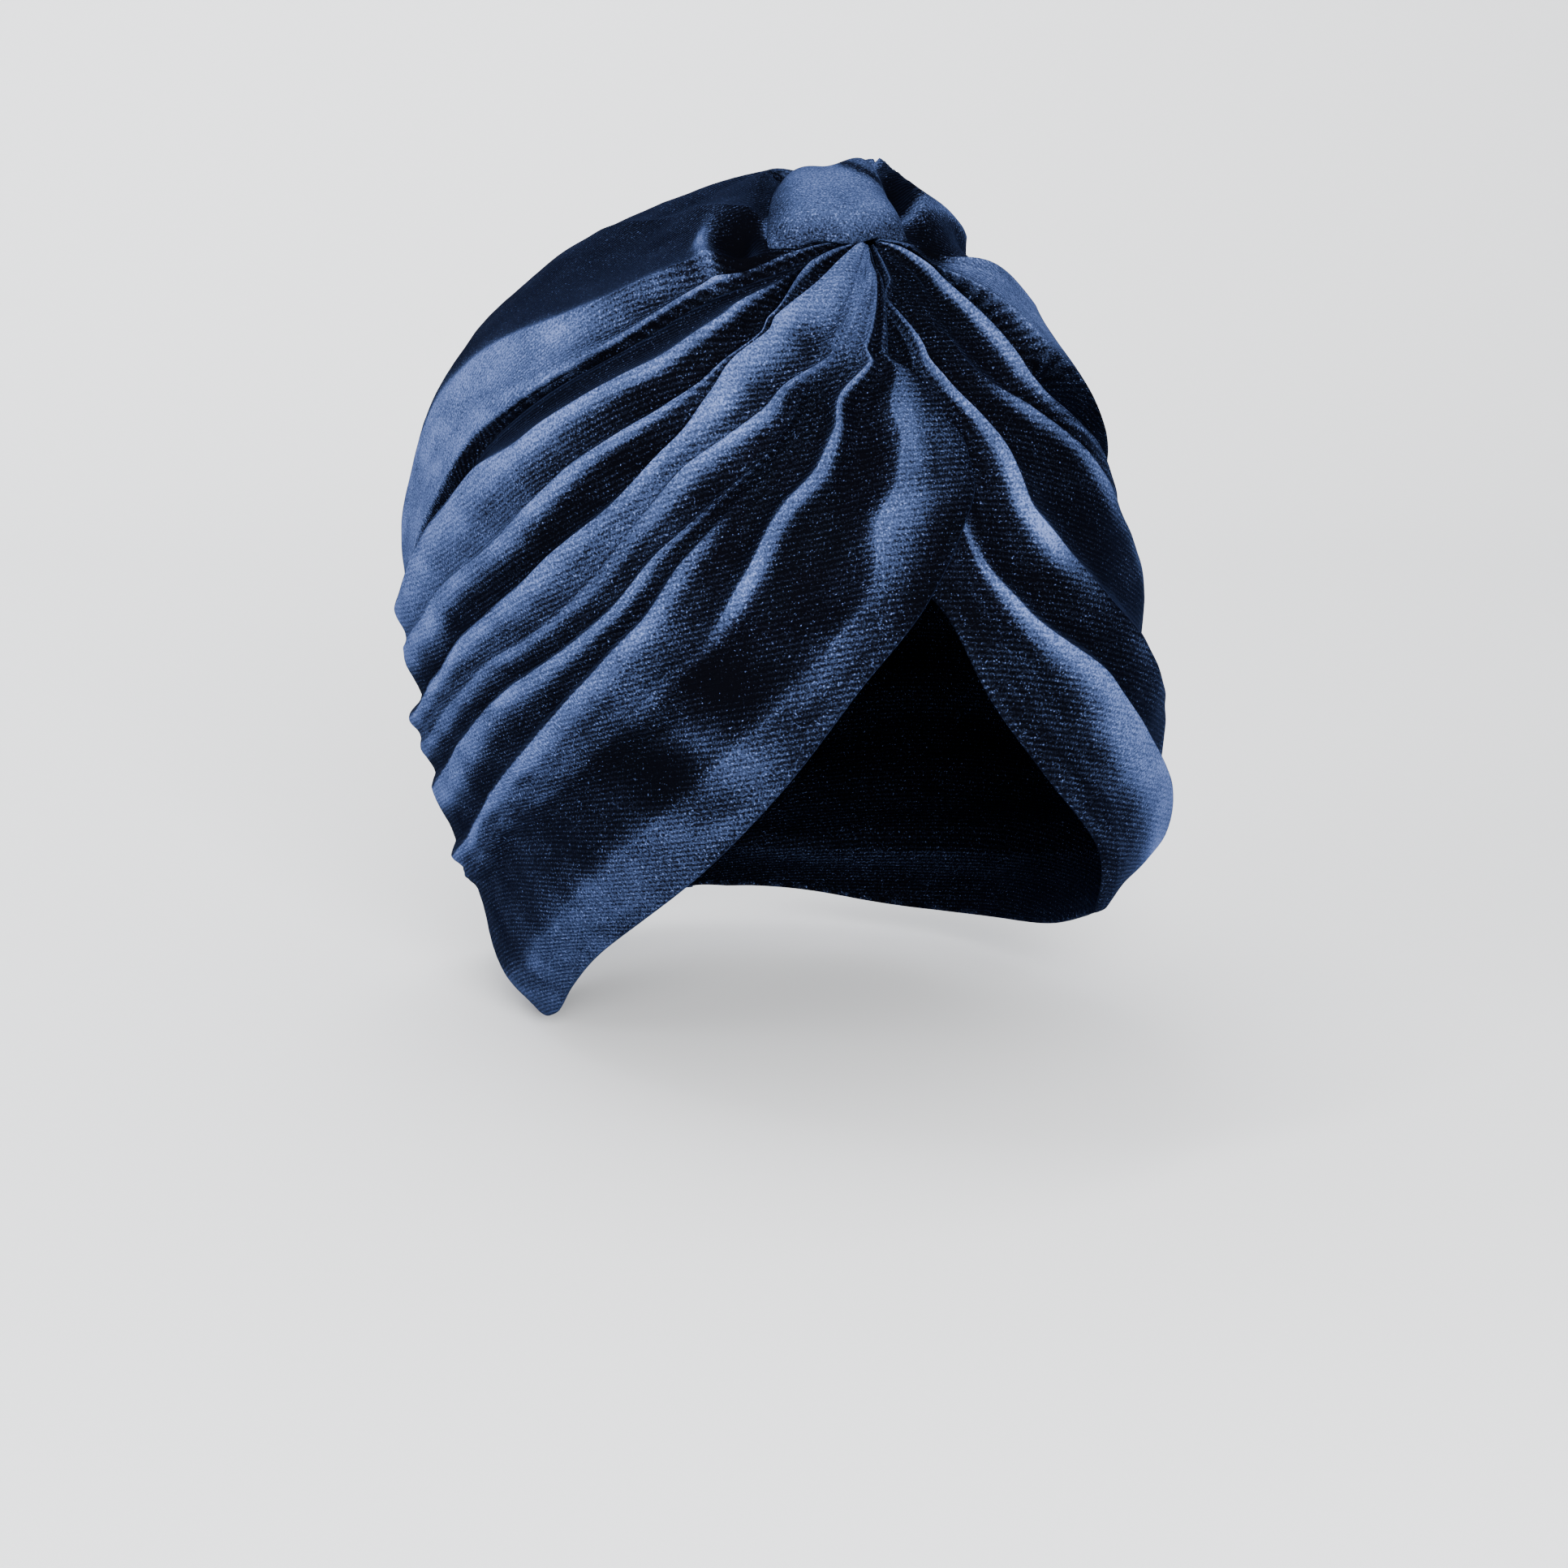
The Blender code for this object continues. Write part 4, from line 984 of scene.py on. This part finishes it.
def noise_node(tree, scale, detail):
    """Output of a noise texture in the object's own space."""
    coordinates = tree.nodes.new("ShaderNodeTexCoord")
    noise = tree.nodes.new("ShaderNodeTexNoise")
    noise.inputs["Scale"].default_value = scale
    noise.inputs["Detail"].default_value = detail
    tree.links.new(coordinates.outputs["Object"], noise.inputs["Vector"])
    return noise.outputs["Fac"]


def rib_node(tree):
    """Output of the ribs' wave, which runs across the cloth's UVs."""
    uv = tree.nodes.new("ShaderNodeUVMap")
    uv.uv_map = "cloth"
    wave = tree.nodes.new("ShaderNodeTexWave")
    wave.bands_direction = "Y"
    wave.inputs["Scale"].default_value = WAVE_UNIT / RIB_PITCH
    wave.inputs["Distortion"].default_value = 0.0
    tree.links.new(uv.outputs["UV"], wave.inputs["Vector"])
    return wave.outputs["Fac"]


def shading_ramp(tree, tone):
    """Colour output for a tone that is the painted shading with its patches and grain added."""
    shift = 0.5 * (PATCHINESS + GRAININESS)
    span = 1.0 + 2.0 * shift
    ramp = tree.nodes.new("ShaderNodeValToRGB")
    stops = ramp.color_ramp.elements
    stops[0].position = 0.0
    stops[0].color = SHADING_COLOURS[0][1]
    stops[1].position = 1.0
    stops[1].color = SHADING_COLOURS[-1][1]
    for share, colour in SHADING_COLOURS:
        stops.new((share + shift) / span).color = colour
    tree.links.new(math_node(tree, "DIVIDE", tone, span), ramp.inputs["Fac"])
    return ramp.outputs["Color"]


def velvet(name, ribs):
    """Stretch velvet: near black where shade is painted, satiny light blue where light is painted."""
    material = bpy.data.materials.new(name)
    material.use_nodes = True
    tree = material.node_tree
    shader = tree.nodes["Principled BSDF"]
    shader.inputs["Metallic"].default_value = 0.2
    shader.inputs["Roughness"].default_value = 0.6
    shader.inputs["Specular IOR Level"].default_value = 0.0
    shader.inputs["Specular Tint"].default_value = (0.05, 0.08, 0.20, 1.0)
    shader.inputs["Sheen Weight"].default_value = 0.02
    shader.inputs["Sheen Roughness"].default_value = 0.4
    shader.inputs["Sheen Tint"].default_value = (0.25, 0.38, 1.0, 1.0)

    # Painted light and shade of the folds, read from the points of the mesh
    attribute = tree.nodes.new("ShaderNodeAttribute")
    attribute.attribute_name = "painted_shading"
    painted_shading = attribute.outputs["Fac"]
    patches = noise_node(tree, PATCH_SCALE, 3.0)
    grain = noise_node(tree, GRAIN_SCALE, 1.0)
    wave = rib_node(tree)

    tone = math_node(tree, "MULTIPLY_ADD", patches, PATCHINESS, painted_shading)
    tone = math_node(tree, "MULTIPLY_ADD", grain, GRAININESS, tone)
    # Painted glints: the brightest specks of the grain are lightened further
    painted_glints = math_node(tree, "MAXIMUM", math_node(tree, "SUBTRACT", grain, GLINT_FROM), 0.0)
    tone = math_node(tree, "MULTIPLY_ADD", painted_glints, PAINTED_GLINT, tone)
    depth = math_node(tree, "MULTIPLY_ADD", painted_shading, -RIB_FADE * ribs, RIBBING * ribs)
    tone = math_node(tree, "MULTIPLY_ADD", math_node(tree, "SUBTRACT", wave, 0.5), depth, tone)
    tree.links.new(shading_ramp(tree, tone), shader.inputs["Base Color"])

    bump = tree.nodes.new("ShaderNodeBump")
    bump.inputs["Strength"].default_value = RELIEF_STRENGTH
    bump.inputs["Distance"].default_value = RELIEF_DEPTH
    relief = math_node(tree, "MULTIPLY_ADD", wave, RIB_RELIEF * ribs, grain)
    tree.links.new(relief, bump.inputs["Height"])
    tree.links.new(bump.outputs["Normal"], shader.inputs["Normal"])
    return material


def add_camera():
    """The camera of the photo."""
    back, right, up = view_axes()
    target = CENTRE + right * VIEW_RIGHT + up * VIEW_UP
    data = bpy.data.cameras.new("photo_view")
    data.lens = LENS_MM
    data.sensor_width = SENSOR_MM
    camera = bpy.data.objects.new("photo_view", data)
    bpy.context.scene.collection.objects.link(camera)
    camera.location = target + back * VIEW_DISTANCE
    camera.rotation_euler = Vector(back).to_track_quat("Z", "Y").to_euler()
    bpy.context.scene.camera = camera


def add_light(name, place, size, power, target=CENTRE):
    """A soft light at a place about the cap, turned to its target."""
    data = bpy.data.lights.new(name, "AREA")
    data.shape = "RECTANGLE"
    data.size, data.size_y = size
    data.energy = power
    light = bpy.data.objects.new(name, data)
    bpy.context.scene.collection.objects.link(light)
    light.location = place
    aim = Vector(target) - Vector(place)
    light.rotation_euler = aim.to_track_quat("-Z", "Y").to_euler()


# Photographer's sweep: a pale floor that curves up into a wall
FLOOR_GAP = 0.001
SWEEP_HALF_WIDTH = 4.0
SWEEP_FRONT = -4.0
SWEEP_CURVE_AT = 0.7
SWEEP_RADIUS = 0.6
SWEEP_TOP = 3.5
SWEEP_STEPS = 25


def add_stage():
    """The pale sweep, the even light of the studio and three soft lights."""
    floor_z = CAD_BOX[0].z - FLOOR_GAP
    section = [(SWEEP_FRONT, 0.0)]
    for turn in np.linspace(0.0, 0.5 * math.pi, SWEEP_STEPS):
        depth = SWEEP_CURVE_AT + SWEEP_RADIUS * math.sin(turn)
        section.append((depth, SWEEP_RADIUS * (1.0 - math.cos(turn))))
    section.append((SWEEP_CURVE_AT + SWEEP_RADIUS, SWEEP_TOP))
    heading = Vector(view_axes()[1])
    away = Vector((-heading.y, heading.x, 0.0))
    points = []
    for depth, rise in section:
        for side in (-SWEEP_HALF_WIDTH, SWEEP_HALF_WIDTH):
            points.append(heading * side + away * depth + Vector((0.0, 0.0, floor_z + rise)))
    faces = [(2 * n, 2 * n + 1, 2 * n + 3, 2 * n + 2) for n in range(len(section) - 1)]
    mesh = bpy.data.meshes.new("floor")
    mesh.from_pydata(points, [], faces)
    mesh.shade_smooth()
    material = bpy.data.materials.new("pale_floor")
    material.use_nodes = True
    shader = material.node_tree.nodes["Principled BSDF"]
    shader.inputs["Base Color"].default_value = (0.86, 0.87, 0.89, 1.0)
    shader.inputs["Roughness"].default_value = 0.9
    mesh.materials.append(material)
    floor = bpy.data.objects.new("floor", mesh)
    bpy.context.scene.collection.objects.link(floor)
    world = bpy.data.worlds.new("studio")
    world.use_nodes = True
    background = world.node_tree.nodes["Background"]
    background.inputs["Color"].default_value = (1.0, 1.0, 1.0, 1.0)
    background.inputs["Strength"].default_value = 0.9
    bpy.context.scene.world = world
    add_light("key", (-0.30, -1.30, 0.35), (0.5, 0.3), 40.0)
    add_light("backdrop", (-0.15, 0.40, 1.10), (1.2, 0.3), 24.0, (-0.50, 1.25, 0.10))
    add_light("left_side", (-1.2, -0.2, 0.05), (0.5, 0.6), 12.0)


VELVET = velvet("ribbed_velvet", 1.0)
SMOOTH_VELVET = velvet("smooth_velvet", 0.0)

right_wrap = panel_piece("right_wrap", RIGHT_WRAP, right_ribs, VELVET)
left_wrap = panel_piece("left_wrap", LEFT_WRAP, left_ribs, VELVET)
crown = panel_piece("crown", CROWN, crown_ribs, VELVET)
knot_band = band_piece(SMOOTH_VELVET)
add_camera()
add_stage()
